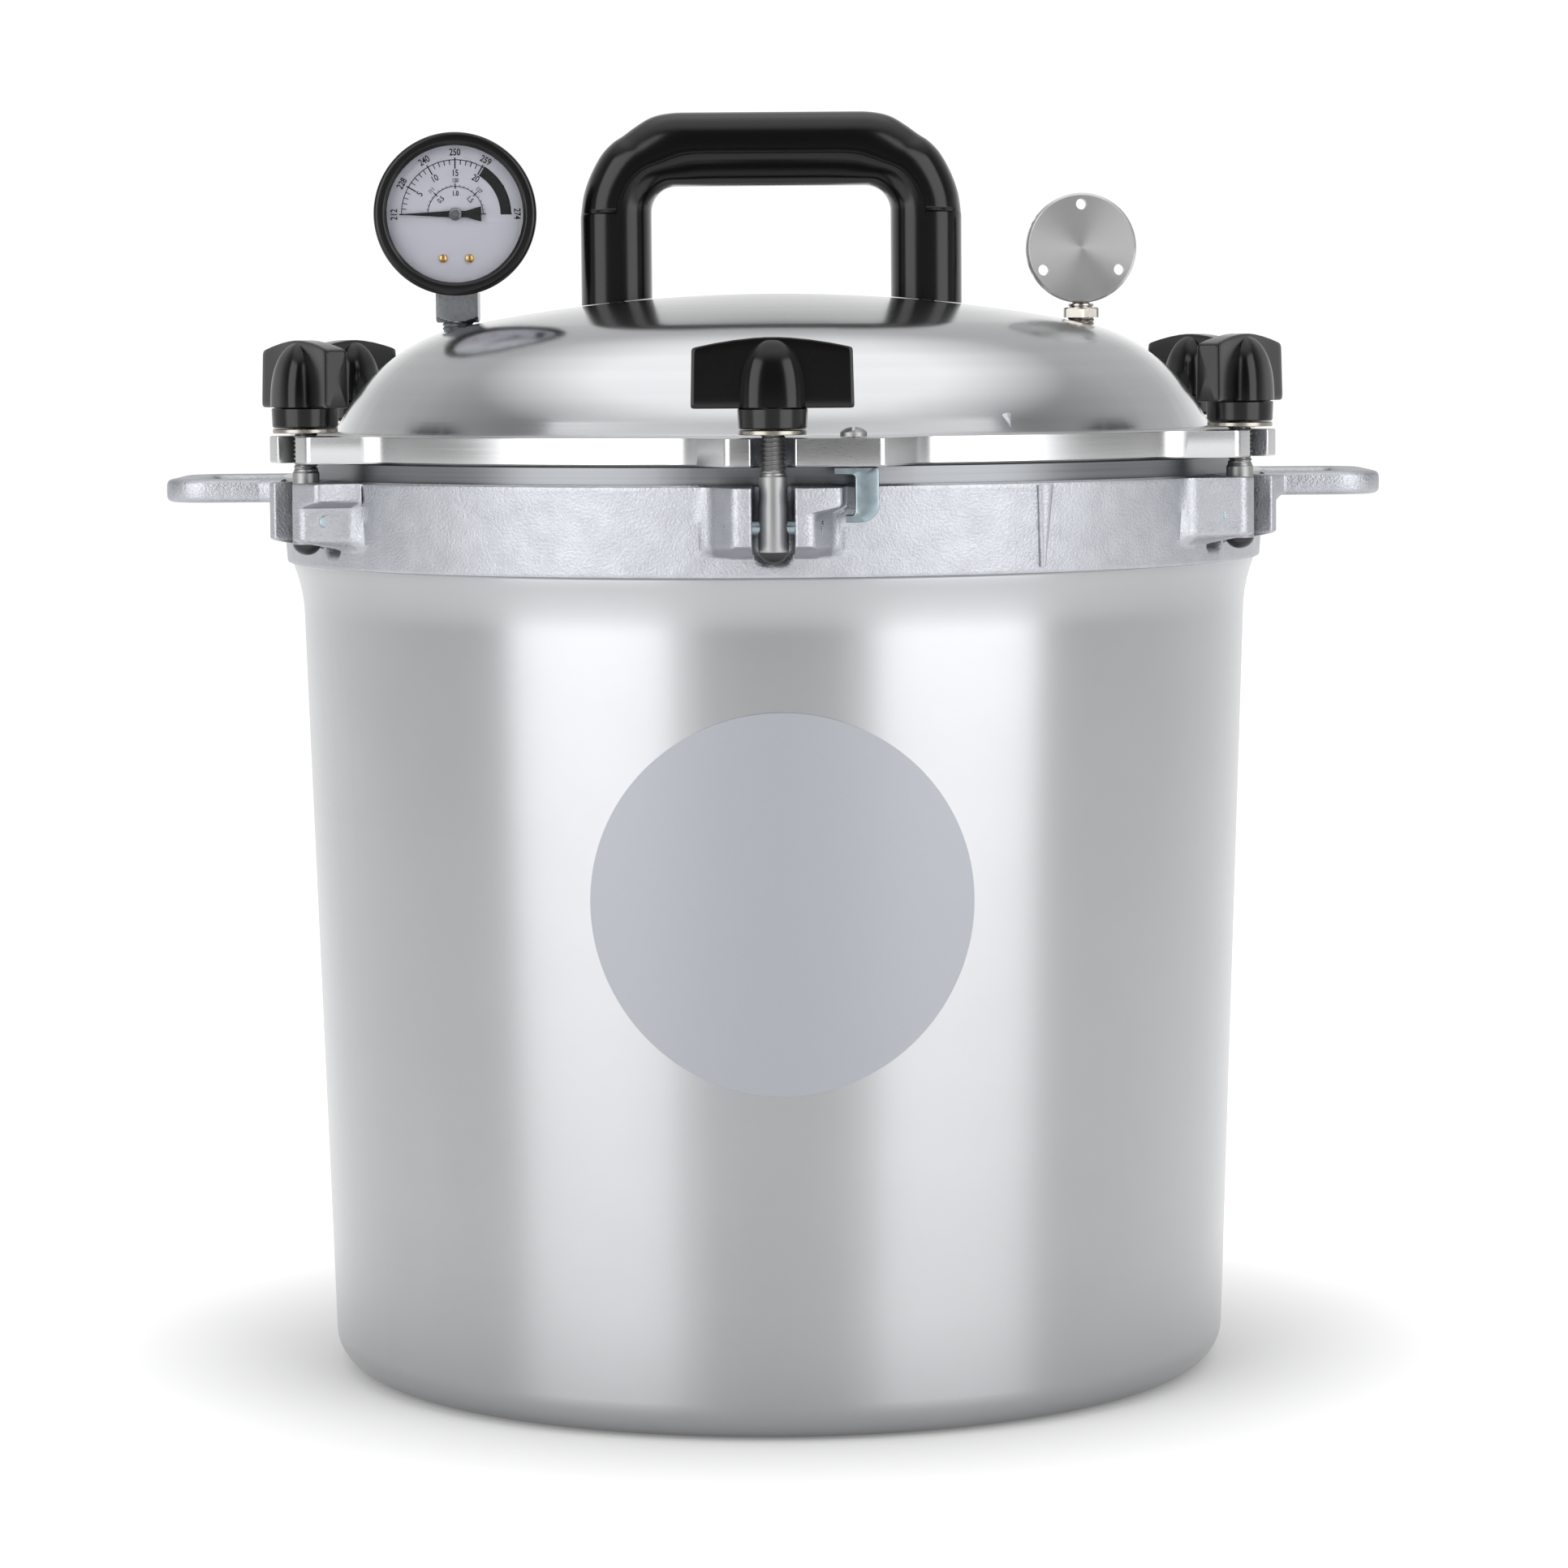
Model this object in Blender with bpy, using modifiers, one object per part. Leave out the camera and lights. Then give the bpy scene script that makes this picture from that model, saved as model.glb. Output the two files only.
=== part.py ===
"""A large stovetop pressure canner: cast aluminium pot and lid that seal metal to metal on a cone,
six swing bolts with wing nuts, a dial gauge, a round pressure weight, a lock hook and a jar rack.
The pot stands on the XY plane with its axis on Z; the gauge faces -Y."""

import math

import bmesh
import bpy
from mathutils import Matrix, Vector

MM = 0.001
GAP = 0.3 * MM              # air left between pieces that touch
ROUND_STEPS = 48            # facets round the pot and the lid
SMALL_STEPS = 16            # facets round small turned pieces

# Pot
POT_HEIGHT = 306 * MM
POT_TOP_RADIUS = 161 * MM   # outside, just under the collar's flare
POT_FOOT_RADIUS = 153.5 * MM
POT_WALL = 5.5 * MM
POT_FLOOR = 7 * MM
FOOT_CORNER = 12.5 * MM
FLOOR_CORNER = 6 * MM
COLLAR_STANDS_OUT = 7.5 * MM
COLLAR_DEPTH = 28.5 * MM
COLLAR_TAPER = 2 * MM
COLLAR_STEP = 2.2 * MM
FLARE_DEPTH = 17.5 * MM
SEAT_DEPTH = 8.5 * MM       # the seat is a 45 degree cone inside the rim
CAST_BELOW_RIM = 0.4 * MM   # cast lugs and loops stop just inside the machined faces

# Lid
LID_RIM_GAP = 6 * MM        # between the pot's rim and the lid's flange
FLANGE_THICKNESS = 8.8 * MM
FLANGE_INSET = 3.5 * MM     # flange edge inside the collar's edge
FLANGE_SHELF = 15.5 * MM    # flat ring between the dome and the flange's edge
DOME_WALL = 5 * MM
CROWN_RADIUS = 540 * MM
SHOULDER_RADIUS = 61 * MM
SHOULDER_DROP = 24.3 * MM   # shoulder arc's centre below the flange's top
SKIRT_DEPTH = 10.5 * MM     # lid's cone below the pot's rim

# Clamps
CLAMP_AZIMUTHS = (270, 330, 30, 90, 150, 210)
CLAMP_OFFSET = 7.5 * MM     # bolt axis outside the collar
PIN_BELOW_RIM = 12.7 * MM
PIN_RADIUS = 2.4 * MM
PIN_LENGTH = 31 * MM
POT_LUG_WIDTH = 36 * MM
POT_LUG_END = 6 * MM        # lug beyond the bolt axis
POT_LUG_HEIGHT = 20 * MM
POT_SLOT_WIDTH = 13.3 * MM
LEDGE_REACH = 4 * MM        # ledge beside each pot lug
LEDGE_HEIGHT = 6 * MM
LID_LUG_WIDTH = 28 * MM
LID_LUG_END = 7 * MM
LID_SLOT_WIDTH = 13.5 * MM
BOLT_RADIUS = 4.75 * MM
BOLT_NOSE = 11.3 * MM       # bolt below its pin
THREAD_RADIUS = 4 * MM
THREAD_START = 15.7 * MM    # above the pin
THREAD_END = 46 * MM        # above the pin
NUT_GAP = 1 * MM            # play above the lid's lug that lets the bolt swing
WASHER_RADIUS = 10.6 * MM
WASHER_THICKNESS = 1.5 * MM
INSERT_RADIUS = 7 * MM
INSERT_LENGTH = 17 * MM
BOSS_RADIUS = 11 * MM
BOSS_HEIGHT = 8.2 * MM      # washer and boss together
WING_SPAN = 25.3 * MM
WING_HEIGHT = 22 * MM
WING_THICKNESS = 8 * MM

# Side handles
LOOP_STANDS_OUT = 37.2 * MM  # beyond the collar
LOOP_HALF_WIDTH = 38 * MM
LOOP_THICKNESS = 8 * MM
LOOP_BAR = 12 * MM
LOOP_CORNER = 16 * MM
RIB_AZIMUTH = 300.6
RIB_WIDTH = 5 * MM
RIB_HEIGHT = 2.5 * MM

# Top handle
HANDLE_HALF_WIDTH = 65.1 * MM
HANDLE_LEG = 24.2 * MM
HANDLE_DEPTH = 28 * MM
HANDLE_RISE = 61.8 * MM     # grip's top above the crown
HANDLE_GRIP = 25.1 * MM     # grip's own thickness
HANDLE_CORNER = 7 * MM
HANDLE_SCREW_RADIUS = 2.7 * MM
HANDLE_SCREW_BITE = 18 * MM

# Lock hook
HOOK_WIDTH = 7.3 * MM
HOOK_RADIAL = 10 * MM
HOOK_DROP = 17 * MM
HOOK_PLATE = 2.2 * MM
HOOK_CLEARANCE = 0.5 * MM   # hook's toe beside the pot's ledge
HOOK_TOE = 2.9 * MM
HOOK_SCREW_RADIUS = 2 * MM

# Gauge
GAUGE_X = -107.5 * MM
GAUGE_RISE = 38.5 * MM      # dial centre above the dome
BEZEL_RADIUS = 27.7 * MM
BEZEL_OPENING = 23.2 * MM
BEZEL_WALL = 1 * MM
BEZEL_DEPTH = 4.7 * MM
CASE_WALL = 1.2 * MM
CASE_BACK = 12.5 * MM
GAUGE_FRONT = 12.5 * MM
LENS_THICKNESS = 1.5 * MM
SOCKET_WIDTH = 14.5 * MM
NECK_RADIUS = 5.45 * MM
BOURDON_CLEARANCE = 2.9 * MM  # between the tube and the case
BOURDON_TUBE = 1.8 * MM
MOVEMENT_RADIUS = 17.8 * MM
MOVEMENT_CLEARANCE = 0.7 * MM  # between the socket's tongue and the movement plate
POINTER_LENGTH = 18.8 * MM
POINTER_TAIL = 8.8 * MM
GEAR_MODULE = 0.5 * MM
PINION_TEETH = 8
GEAR_RATIO = 6
SECTOR_DIRECTION = -30      # from the pinion to the sector's pivot, degrees
DIAL_SCREW_X = 4.5 * MM
DIAL_SCREW_DROP = 15 * MM

# Vent pipe, weight, plug and rack
VENT_X = 106 * MM
VENT_THREAD_RADIUS = 4.6 * MM
VENT_HEX_RADIUS = 6.75 * MM
VENT_NECK_RADIUS = 4.35 * MM
VENT_TIP_RADIUS = 3 * MM
VENT_BORE = 1.2 * MM
WEIGHT_RADIUS = 18.7 * MM
WEIGHT_THICKNESS = 10 * MM
WEIGHT_RISE = 25.3 * MM     # weight's centre above the dome
WEIGHT_HOLE_CIRCLE = 14.9 * MM
WEIGHT_HOLE_RADIUS = 1.9 * MM
PLUG_Y = 106 * MM
PLUG_STEM_RADIUS = 5.5 * MM
PLUG_HEAD_RADIUS = 8.5 * MM
RACK_RADIUS_CLEARANCE = 1 * MM
RACK_HEIGHT = 10 * MM
RACK_SHEET = 1.6 * MM
RACK_HOLE_RADIUS = 8 * MM
RACK_HOLE_PITCH = 52 * MM
RACK_TURN = 4               # hole pattern's turn, degrees

# Derived sizes
COLLAR_RADIUS = POT_TOP_RADIUS + COLLAR_STANDS_OUT
MOUTH_RADIUS = POT_TOP_RADIUS - POT_WALL
SEAT_RADIUS = MOUTH_RADIUS + SEAT_DEPTH
CLAMP_RADIUS = COLLAR_RADIUS + CLAMP_OFFSET
LOOP_REACH = COLLAR_RADIUS + LOOP_STANDS_OUT
PIN_HEIGHT = POT_HEIGHT - PIN_BELOW_RIM
FLANGE_RADIUS = COLLAR_RADIUS - FLANGE_INSET
FLANGE_BOTTOM = POT_HEIGHT + LID_RIM_GAP
FLANGE_TOP = FLANGE_BOTTOM + FLANGE_THICKNESS
DOME_EDGE = FLANGE_RADIUS - FLANGE_SHELF
SHOULDER_HEIGHT = FLANGE_TOP - SHOULDER_DROP
SHOULDER_CENTRE = DOME_EDGE - math.sqrt(SHOULDER_RADIUS ** 2 - SHOULDER_DROP ** 2)
CROWN_CENTRE = SHOULDER_HEIGHT - math.sqrt((CROWN_RADIUS - SHOULDER_RADIUS) ** 2
                                           - SHOULDER_CENTRE ** 2)
CROWN_ANGLE = math.asin(SHOULDER_CENTRE / (CROWN_RADIUS - SHOULDER_RADIUS))
NUT_BOTTOM = FLANGE_TOP + NUT_GAP - PIN_HEIGHT
POT_SLOT_FLOOR = CLAMP_RADIUS - BOLT_NOSE - 1 * MM
LEDGE_END = POT_LUG_WIDTH / 2 + LEDGE_REACH


def dome_height(radius, depth=0.0):
    """Height of the lid's outer skin, or of a skin set in by depth, at a radius."""
    crown = CROWN_RADIUS - depth
    if radius <= crown * math.sin(CROWN_ANGLE):
        return CROWN_CENTRE + math.sqrt(crown ** 2 - radius ** 2)
    shoulder = SHOULDER_RADIUS - depth
    return SHOULDER_HEIGHT + math.sqrt(shoulder ** 2 - (radius - SHOULDER_CENTRE) ** 2)


# ---------------------------------------------------------------- helpers

def start_empty_scene():
    """Remove what the scene holds and make the two collections."""
    for obj in list(bpy.data.objects):
        bpy.data.objects.remove(obj, do_unlink=True)
    parts = bpy.data.collections.new("pressure_canner")
    cutters = bpy.data.collections.new("cutters")
    bpy.context.scene.collection.children.link(parts)
    bpy.context.scene.collection.children.link(cutters)
    return parts, cutters


PARTS, CUTTERS = start_empty_scene()


def finish(name, colour, roughness, metallic):
    """Make a Principled material."""
    mat = bpy.data.materials.new(name)
    mat.use_nodes = True
    shader = mat.node_tree.nodes["Principled BSDF"]
    shader.inputs["Base Color"].default_value = (*colour, 1)
    shader.inputs["Roughness"].default_value = roughness
    shader.inputs["Metallic"].default_value = metallic
    return mat


CAST = finish("cast_aluminium", (0.62, 0.64, 0.66), 0.45, 1.0)
POLISHED = finish("polished_aluminium", (0.76, 0.77, 0.78), 0.22, 1.0)
PHENOLIC = finish("black_phenolic", (0.01, 0.01, 0.011), 0.25, 0.0)
STEEL = finish("machined_steel", (0.55, 0.55, 0.55), 0.35, 1.0)
ZINC = finish("zinc_plate", (0.6, 0.63, 0.68), 0.35, 1.0)
BRASS = finish("brass", (0.7, 0.52, 0.25), 0.3, 1.0)
STAINLESS = finish("turned_stainless", (0.66, 0.66, 0.65), 0.3, 1.0)
BLACK_CASE = finish("black_gauge_case", (0.012, 0.012, 0.012), 0.4, 0.0)
DIAL_GREY = finish("dial_grey", (0.72, 0.74, 0.74), 0.6, 0.0)
GLASS = finish("gauge_glass", (0.9, 0.92, 0.92), 0.05, 0.0)
RUBBER = finish("black_rubber", (0.02, 0.02, 0.02), 0.8, 0.0)


def new_object(name, mesh):
    """Put a mesh in the scene as a working piece, hidden until it is kept."""
    obj = bpy.data.objects.new(name, mesh)
    CUTTERS.objects.link(obj)
    obj.hide_render = True
    obj.display_type = "WIRE"
    return obj


def turned(name, outline, steps=SMALL_STEPS, ring=False):
    """Turn an outline of (radius, height) points, run down its outer side, about Z."""
    mesh = bpy.data.meshes.new(name)
    count = len(outline)
    edges = [(i, (i + 1) % count) for i in range(count if ring else count - 1)]
    mesh.from_pydata([(radius, 0, height) for radius, height in outline], edges, [])
    obj = new_object(name, mesh)
    screw = obj.modifiers.new("Turn", "SCREW")
    screw.steps = steps
    screw.render_steps = steps
    screw.use_merge_vertices = True
    screw.merge_threshold = 0.00001
    screw.use_smooth_shade = True
    return baked(obj)


def baked(obj):
    """Replace an object's mesh and modifiers, or its curve, by the mesh they make."""
    depsgraph = bpy.context.evaluated_depsgraph_get()
    mesh = bpy.data.meshes.new_from_object(obj.evaluated_get(depsgraph))
    if obj.type == "MESH":
        obj.modifiers.clear()
        obj.data = mesh
        return obj
    result = new_object(obj.name + "_mesh", mesh)
    result.matrix_world = obj.matrix_world
    weld(mesh)
    bpy.data.objects.remove(obj, do_unlink=True)
    return result


def weld(mesh):
    """Close the seams between a curve's sides and its caps."""
    bm = bmesh.new()
    bm.from_mesh(mesh)
    bmesh.ops.remove_doubles(bm, verts=bm.verts, dist=0.00001)
    bm.to_mesh(mesh)
    bm.free()


def plate(name, outlines, thickness):
    """A flat outline, with holes if more outlines follow, centred on its XY plane."""
    curve = bpy.data.curves.new(name, "CURVE")
    curve.dimensions = "2D"
    curve.fill_mode = "BOTH"
    curve.extrude = thickness / 2
    for outline in outlines:
        spline = curve.splines.new("POLY")
        spline.points.add(len(outline) - 1)
        for point, (x, y) in zip(spline.points, outline):
            point.co = (x, y, 0, 1)
        spline.use_cyclic_u = True
    return baked(new_object(name, curve))


def block(name, low, high):
    """A box between two corners."""
    bm = bmesh.new()
    bmesh.ops.create_cube(bm, size=1)
    size = Vector(high) - Vector(low)
    middle = (Vector(high) + Vector(low)) / 2
    bmesh.ops.scale(bm, vec=size, verts=bm.verts)
    bmesh.ops.translate(bm, vec=middle, verts=bm.verts)
    return bmesh_object(name, bm)


def rod(name, radius, low, high, steps=SMALL_STEPS, top_radius=None):
    """A cylinder on Z between two heights."""
    bm = bmesh.new()
    top = radius if top_radius is None else top_radius
    bmesh.ops.create_cone(bm, cap_ends=True, segments=steps, radius1=radius, radius2=top,
                          depth=high - low)
    bmesh.ops.translate(bm, vec=(0, 0, (low + high) / 2), verts=bm.verts)
    return bmesh_object(name, bm)


def bmesh_object(name, bm):
    """Turn a bmesh into an object."""
    mesh = bpy.data.meshes.new(name)
    bm.to_mesh(mesh)
    bm.free()
    return new_object(name, mesh)


def moved(obj, matrix):
    """Move a piece's points, leaving its origin where it is."""
    obj.data.transform(matrix)
    return obj


def combine(obj, other, operation):
    """Cut or join another piece into this one."""
    boolean = obj.modifiers.new(operation.title(), "BOOLEAN")
    boolean.operation = operation
    boolean.object = other
    baked(obj)
    bpy.data.objects.remove(other, do_unlink=True)
    return obj


def cut(obj, other):
    return combine(obj, other, "DIFFERENCE")


def join(obj, other):
    return combine(obj, other, "UNION")


def keep(obj, name, mat, parent=None, location=(0, 0, 0)):
    """Turn a working piece into one of the canner's own, with its name and finish."""
    CUTTERS.objects.unlink(obj)
    PARTS.objects.link(obj)
    obj.hide_render = False
    obj.display_type = "TEXTURED"
    obj.name = name
    obj.data.name = name
    obj.data.materials.clear()
    obj.data.materials.append(mat)
    obj.data.shade_smooth()
    obj.data.set_sharp_from_angle(angle=math.radians(35))
    obj.parent = parent
    obj.location = location
    return obj


def copy_of(obj, name, parent=None, location=(0, 0, 0)):
    """Another piece with the same mesh."""
    other = bpy.data.objects.new(name, obj.data)
    PARTS.objects.link(other)
    other.parent = parent
    other.location = location
    return other


def empty(name, location, rotation=(0, 0, 0)):
    """A joint's frame."""
    obj = bpy.data.objects.new(name, None)
    obj.location = location
    obj.rotation_euler = rotation
    PARTS.objects.link(obj)
    return obj


def arc(centre, radius, start, end, count):
    """Points on an arc between two angles in degrees, both ends included."""
    points = []
    for i in range(count + 1):
        angle = math.radians(start + (end - start) * i / count)
        points.append((centre[0] + radius * math.cos(angle), centre[1] + radius * math.sin(angle)))
    return points


def around(azimuth):
    """Rotation about Z that takes +X to an azimuth in degrees."""
    return Matrix.Rotation(math.radians(azimuth), 4, "Z")


def across(x=0, y=0, z=0):
    return Matrix.Translation((x, y, z))


LAY_ON_Y = Matrix.Rotation(math.radians(90), 4, "X")   # local Z to -Y, local Y to +Z


# ---------------------------------------------------------------- pot

def pot_outline():
    """Centre of the floor, up the inside, over the rim and down the outside."""
    inner_foot = POT_FOOT_RADIUS - POT_WALL
    floor_arc = arc((inner_foot - FLOOR_CORNER, POT_FLOOR + FLOOR_CORNER), FLOOR_CORNER, -90, 0, 3)
    foot_arc = arc((POT_FOOT_RADIUS - FOOT_CORNER, FOOT_CORNER), FOOT_CORNER, 0, -90, 4)
    collar_foot = POT_HEIGHT - COLLAR_DEPTH
    collar_foot_radius = COLLAR_RADIUS - COLLAR_TAPER
    flare = []
    for i in range(4):
        share = i / 3
        flare.append((POT_TOP_RADIUS + (collar_foot_radius - COLLAR_STEP - POT_TOP_RADIUS)
                      * (1 - share) ** 2, collar_foot - 1 * MM - FLARE_DEPTH * share))
    return ([(0, POT_FLOOR)] + floor_arc
            + [(MOUTH_RADIUS, POT_HEIGHT - SEAT_DEPTH), (SEAT_RADIUS, POT_HEIGHT),
               (COLLAR_RADIUS, POT_HEIGHT), (collar_foot_radius, collar_foot)]
            + flare + foot_arc + [(0, 0)])


def pot_lug():
    """One clamp lug on +X: two ears with a ledge beside them, before its slot is cut."""
    inside = MOUTH_RADIUS + SEAT_DEPTH + 1 * MM
    end = CLAMP_RADIUS + POT_LUG_END
    foot = POT_HEIGHT - POT_LUG_HEIGHT
    chin = 4 * MM
    top = POT_HEIGHT - CAST_BELOW_RIM
    outline = [(inside, top), (end, top), (end, foot + chin), (end - chin, foot),
               (COLLAR_RADIUS + 1 * MM, foot), (inside, POT_HEIGHT - COLLAR_DEPTH + 1 * MM)]
    lug = moved(plate("lug", [outline[::-1]], POT_LUG_WIDTH), LAY_ON_Y)
    ledge = block("ledge", (inside, 0, POT_HEIGHT - LEDGE_HEIGHT),
                  (end - 2 * MM, LEDGE_END, top - CAST_BELOW_RIM))
    return join(lug, ledge)


def side_loop():
    """The loop handle on +X, flush with the rim."""
    root = MOUTH_RADIUS + SEAT_DEPTH + 1 * MM
    width = LOOP_HALF_WIDTH
    tip = LOOP_REACH
    outer = ([(root, -width)] + arc((tip - LOOP_CORNER, LOOP_CORNER - width), LOOP_CORNER, -90, 0, 4)
             + arc((tip - LOOP_CORNER, width - LOOP_CORNER), LOOP_CORNER, 0, 90, 4) + [(root, width)])
    hole_x = (COLLAR_RADIUS + 3 * MM, tip - LOOP_BAR)
    corner = LOOP_CORNER / 2
    half = width - LOOP_BAR
    hole = (arc((hole_x[0] + corner, corner - half), corner, 180, 270, 2)
            + arc((hole_x[1] - corner, corner - half), corner, 270, 360, 2)
            + arc((hole_x[1] - corner, half - corner), corner, 0, 90, 2)
            + arc((hole_x[0] + corner, half - corner), corner, 90, 180, 2))
    loop = plate("loop", [outer, hole], LOOP_THICKNESS)
    return moved(loop, across(z=POT_HEIGHT - CAST_BELOW_RIM - LOOP_THICKNESS / 2))


def index_rib():
    """Small upright rib cast on the collar."""
    root = COLLAR_RADIUS - 4 * MM
    outline = [(root, -RIB_WIDTH / 2), (COLLAR_RADIUS + RIB_HEIGHT, 0), (root, RIB_WIDTH / 2)]
    rib = plate("rib", [outline], COLLAR_DEPTH - 2 * MM)
    return moved(rib, around(RIB_AZIMUTH) @ across(z=POT_HEIGHT - COLLAR_DEPTH / 2))


def make_pot():
    pot = turned("pot", pot_outline(), ROUND_STEPS)
    for azimuth in CLAMP_AZIMUTHS:
        join(pot, moved(pot_lug(), around(azimuth)))
    for azimuth in (0, 180):
        join(pot, moved(side_loop(), around(azimuth)))
    join(pot, index_rib())
    half = POT_SLOT_WIDTH / 2
    for azimuth in CLAMP_AZIMUTHS:
        slot = block("slot", (POT_SLOT_FLOOR, -half, POT_HEIGHT - COLLAR_DEPTH + 0.5 * MM),
                     (LOOP_REACH, half, POT_HEIGHT + 5 * MM))
        cut(pot, moved(slot, around(azimuth)))
        hole = moved(rod("pin_hole", PIN_RADIUS + GAP, -POT_LUG_WIDTH, POT_LUG_WIDTH, 12), LAY_ON_Y)
        cut(pot, moved(hole, around(azimuth) @ across(CLAMP_RADIUS, 0, PIN_HEIGHT)))
    return keep(pot, "pot_body", CAST)


# ---------------------------------------------------------------- lid

def lid_outline():
    """Top of the dome, down to the flange and seat cone, and back up the inside."""
    def skin(depth, shoulder_points, crown_points, low_angle):
        turn = 90 - math.degrees(CROWN_ANGLE)
        crown = arc((0, CROWN_CENTRE), CROWN_RADIUS - depth, 90, turn, crown_points)
        crown[0] = (0, crown[0][1])
        shoulder = arc((SHOULDER_CENTRE, SHOULDER_HEIGHT), SHOULDER_RADIUS - depth, turn, low_angle,
                       shoulder_points)
        return crown + shoulder[1:]

    edge_angle = math.degrees(math.asin(SHOULDER_DROP / SHOULDER_RADIUS))
    cone = SEAT_RADIUS - GAP * math.sqrt(2)
    inner = skin(DOME_WALL, 5, 5, 0)
    skirt_foot = POT_HEIGHT - SKIRT_DEPTH
    return (skin(0, 5, 4, edge_angle)
            + [(FLANGE_RADIUS, FLANGE_TOP), (FLANGE_RADIUS, FLANGE_BOTTOM), (cone, FLANGE_BOTTOM),
               (cone, POT_HEIGHT), (cone - SKIRT_DEPTH, skirt_foot), (inner[-1][0], skirt_foot)]
            + inner[::-1])


def lid_lug(reach):
    """One slotted lug on +X; reach is how far it goes beside the bolt on its hook side."""
    root = FLANGE_RADIUS - 8 * MM
    end = CLAMP_RADIUS + LID_LUG_END
    half = LID_LUG_WIDTH / 2
    corner = 4 * MM
    outline = ([(root, -half)] + arc((end - corner, corner - half), corner, -90, 0, 2)
               + arc((end - corner, reach - corner), corner, 0, 90, 2) + [(root, reach)])
    lug = plate("lid_lug", [outline], FLANGE_THICKNESS - 2 * CAST_BELOW_RIM)
    return moved(lug, across(z=FLANGE_BOTTOM + FLANGE_THICKNESS / 2))


def lid_slot():
    """The slot that a bolt swings out of, with a round end."""
    half = LID_SLOT_WIDTH / 2
    outline = (arc((CLAMP_RADIUS, 0), half, 270, 90, 6)
               + [(CLAMP_RADIUS + 2 * LID_LUG_END, half), (CLAMP_RADIUS + 2 * LID_LUG_END, -half)])
    slot = plate("lid_slot", [outline], 2 * FLANGE_THICKNESS)
    return moved(slot, across(z=FLANGE_BOTTOM + FLANGE_THICKNESS / 2))


def make_lid():
    lid = turned("lid", lid_outline(), ROUND_STEPS)
    for azimuth in CLAMP_AZIMUTHS:
        reach = hook_side_reach() if azimuth == CLAMP_AZIMUTHS[0] else LID_LUG_WIDTH / 2
        join(lid, moved(lid_lug(reach), around(azimuth)))
    for azimuth in CLAMP_AZIMUTHS:
        cut(lid, moved(lid_slot(), around(azimuth)))
    screw_x = HANDLE_HALF_WIDTH - HANDLE_LEG / 2
    holes = ((VENT_X, 0, VENT_THREAD_RADIUS), (GAUGE_X, 0, NECK_RADIUS),
             (0, PLUG_Y, PLUG_STEM_RADIUS), (screw_x, 0, HANDLE_SCREW_RADIUS),
             (-screw_x, 0, HANDLE_SCREW_RADIUS))
    for x, y, radius in holes:
        hole = rod("hole", radius + GAP, POT_HEIGHT, FLANGE_TOP + HANDLE_RISE)
        cut(lid, moved(hole, across(x, y)))
    screw_hole = rod("hole", HOOK_SCREW_RADIUS + GAP, POT_HEIGHT, FLANGE_TOP + HANDLE_RISE, 12)
    cut(lid, moved(screw_hole, hook_frame() @ across(0, hook_screw_side())))
    return keep(lid, "lid", POLISHED)


# ---------------------------------------------------------------- lock hook

def hook_frame():
    """Frame on the front bolt's axis: +X outwards, +Y along the rim."""
    return around(CLAMP_AZIMUTHS[0]) @ across(CLAMP_RADIUS)


def hook_side():
    """Side distance of the hook's upright from the bolt."""
    return LEDGE_END + HOOK_CLEARANCE + HOOK_TOE


def hook_side_reach():
    return hook_side() + HOOK_WIDTH + 1.3 * MM


def hook_screw_side():
    return LEDGE_END + 3 * MM


def make_hook():
    """L-shaped hook under the long side of the front lid lug; its toe points at the pot's ledge."""
    top = FLANGE_BOTTOM - GAP
    foot = top - HOOK_DROP
    near = hook_side()
    far = near + HOOK_WIDTH
    round_end = 5 * MM
    outline = ([(LEDGE_END - 3 * MM, top), (LEDGE_END - 3 * MM, top - HOOK_PLATE),
                (near, top - HOOK_PLATE), (near, foot + HOOK_PLATE),
                (LEDGE_END + HOOK_CLEARANCE, foot + HOOK_PLATE), (LEDGE_END + HOOK_CLEARANCE, foot)]
               + arc((far - round_end, foot + round_end), round_end, -90, 0, 3) + [(far, top)])
    hook = plate("hook", [outline], HOOK_RADIAL)
    stand = Matrix.Rotation(math.radians(90), 4, "X")
    quarter = Matrix.Rotation(math.radians(90), 4, "Z")
    moved(hook, quarter @ stand)
    hole = rod("hook_hole", HOOK_SCREW_RADIUS + GAP, foot + 2 * HOOK_PLATE, top + 5 * MM, 12)
    cut(hook, moved(hole, across(y=hook_screw_side())))
    moved(hook, hook_frame())
    keep(hook, "lock_hook", ZINC)

    head = FLANGE_TOP + GAP
    screw = turned("hook_screw", [(0, head + 3 * MM), (2.4 * MM, head + 2.6 * MM),
                                  (4.15 * MM, head + 1 * MM), (4.15 * MM, head),
                                  (HOOK_SCREW_RADIUS, head), (HOOK_SCREW_RADIUS, top - HOOK_PLATE),
                                  (0, top - HOOK_PLATE)], 12)
    moved(screw, hook_frame() @ across(0, hook_screw_side()))
    keep(screw, "hook_screw", ZINC)


# ---------------------------------------------------------------- clamps

def clamp_bolt():
    """Swing bolt with its pin hole at the origin; it stands on +Z."""
    shape = [(0, THREAD_END), (THREAD_RADIUS - 0.8 * MM, THREAD_END),
             (THREAD_RADIUS, THREAD_END - 0.8 * MM), (THREAD_RADIUS, THREAD_START),
             (BOLT_RADIUS, THREAD_START - 5 * MM), (BOLT_RADIUS, 3 * MM - BOLT_NOSE),
             (BOLT_RADIUS * 0.55, -BOLT_NOSE), (0, -BOLT_NOSE)]
    bolt = turned("bolt", shape, 14)
    hole = moved(rod("hole", PIN_RADIUS + GAP, -2 * BOLT_RADIUS, 2 * BOLT_RADIUS, 12), LAY_ON_Y)
    return cut(bolt, hole)


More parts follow.
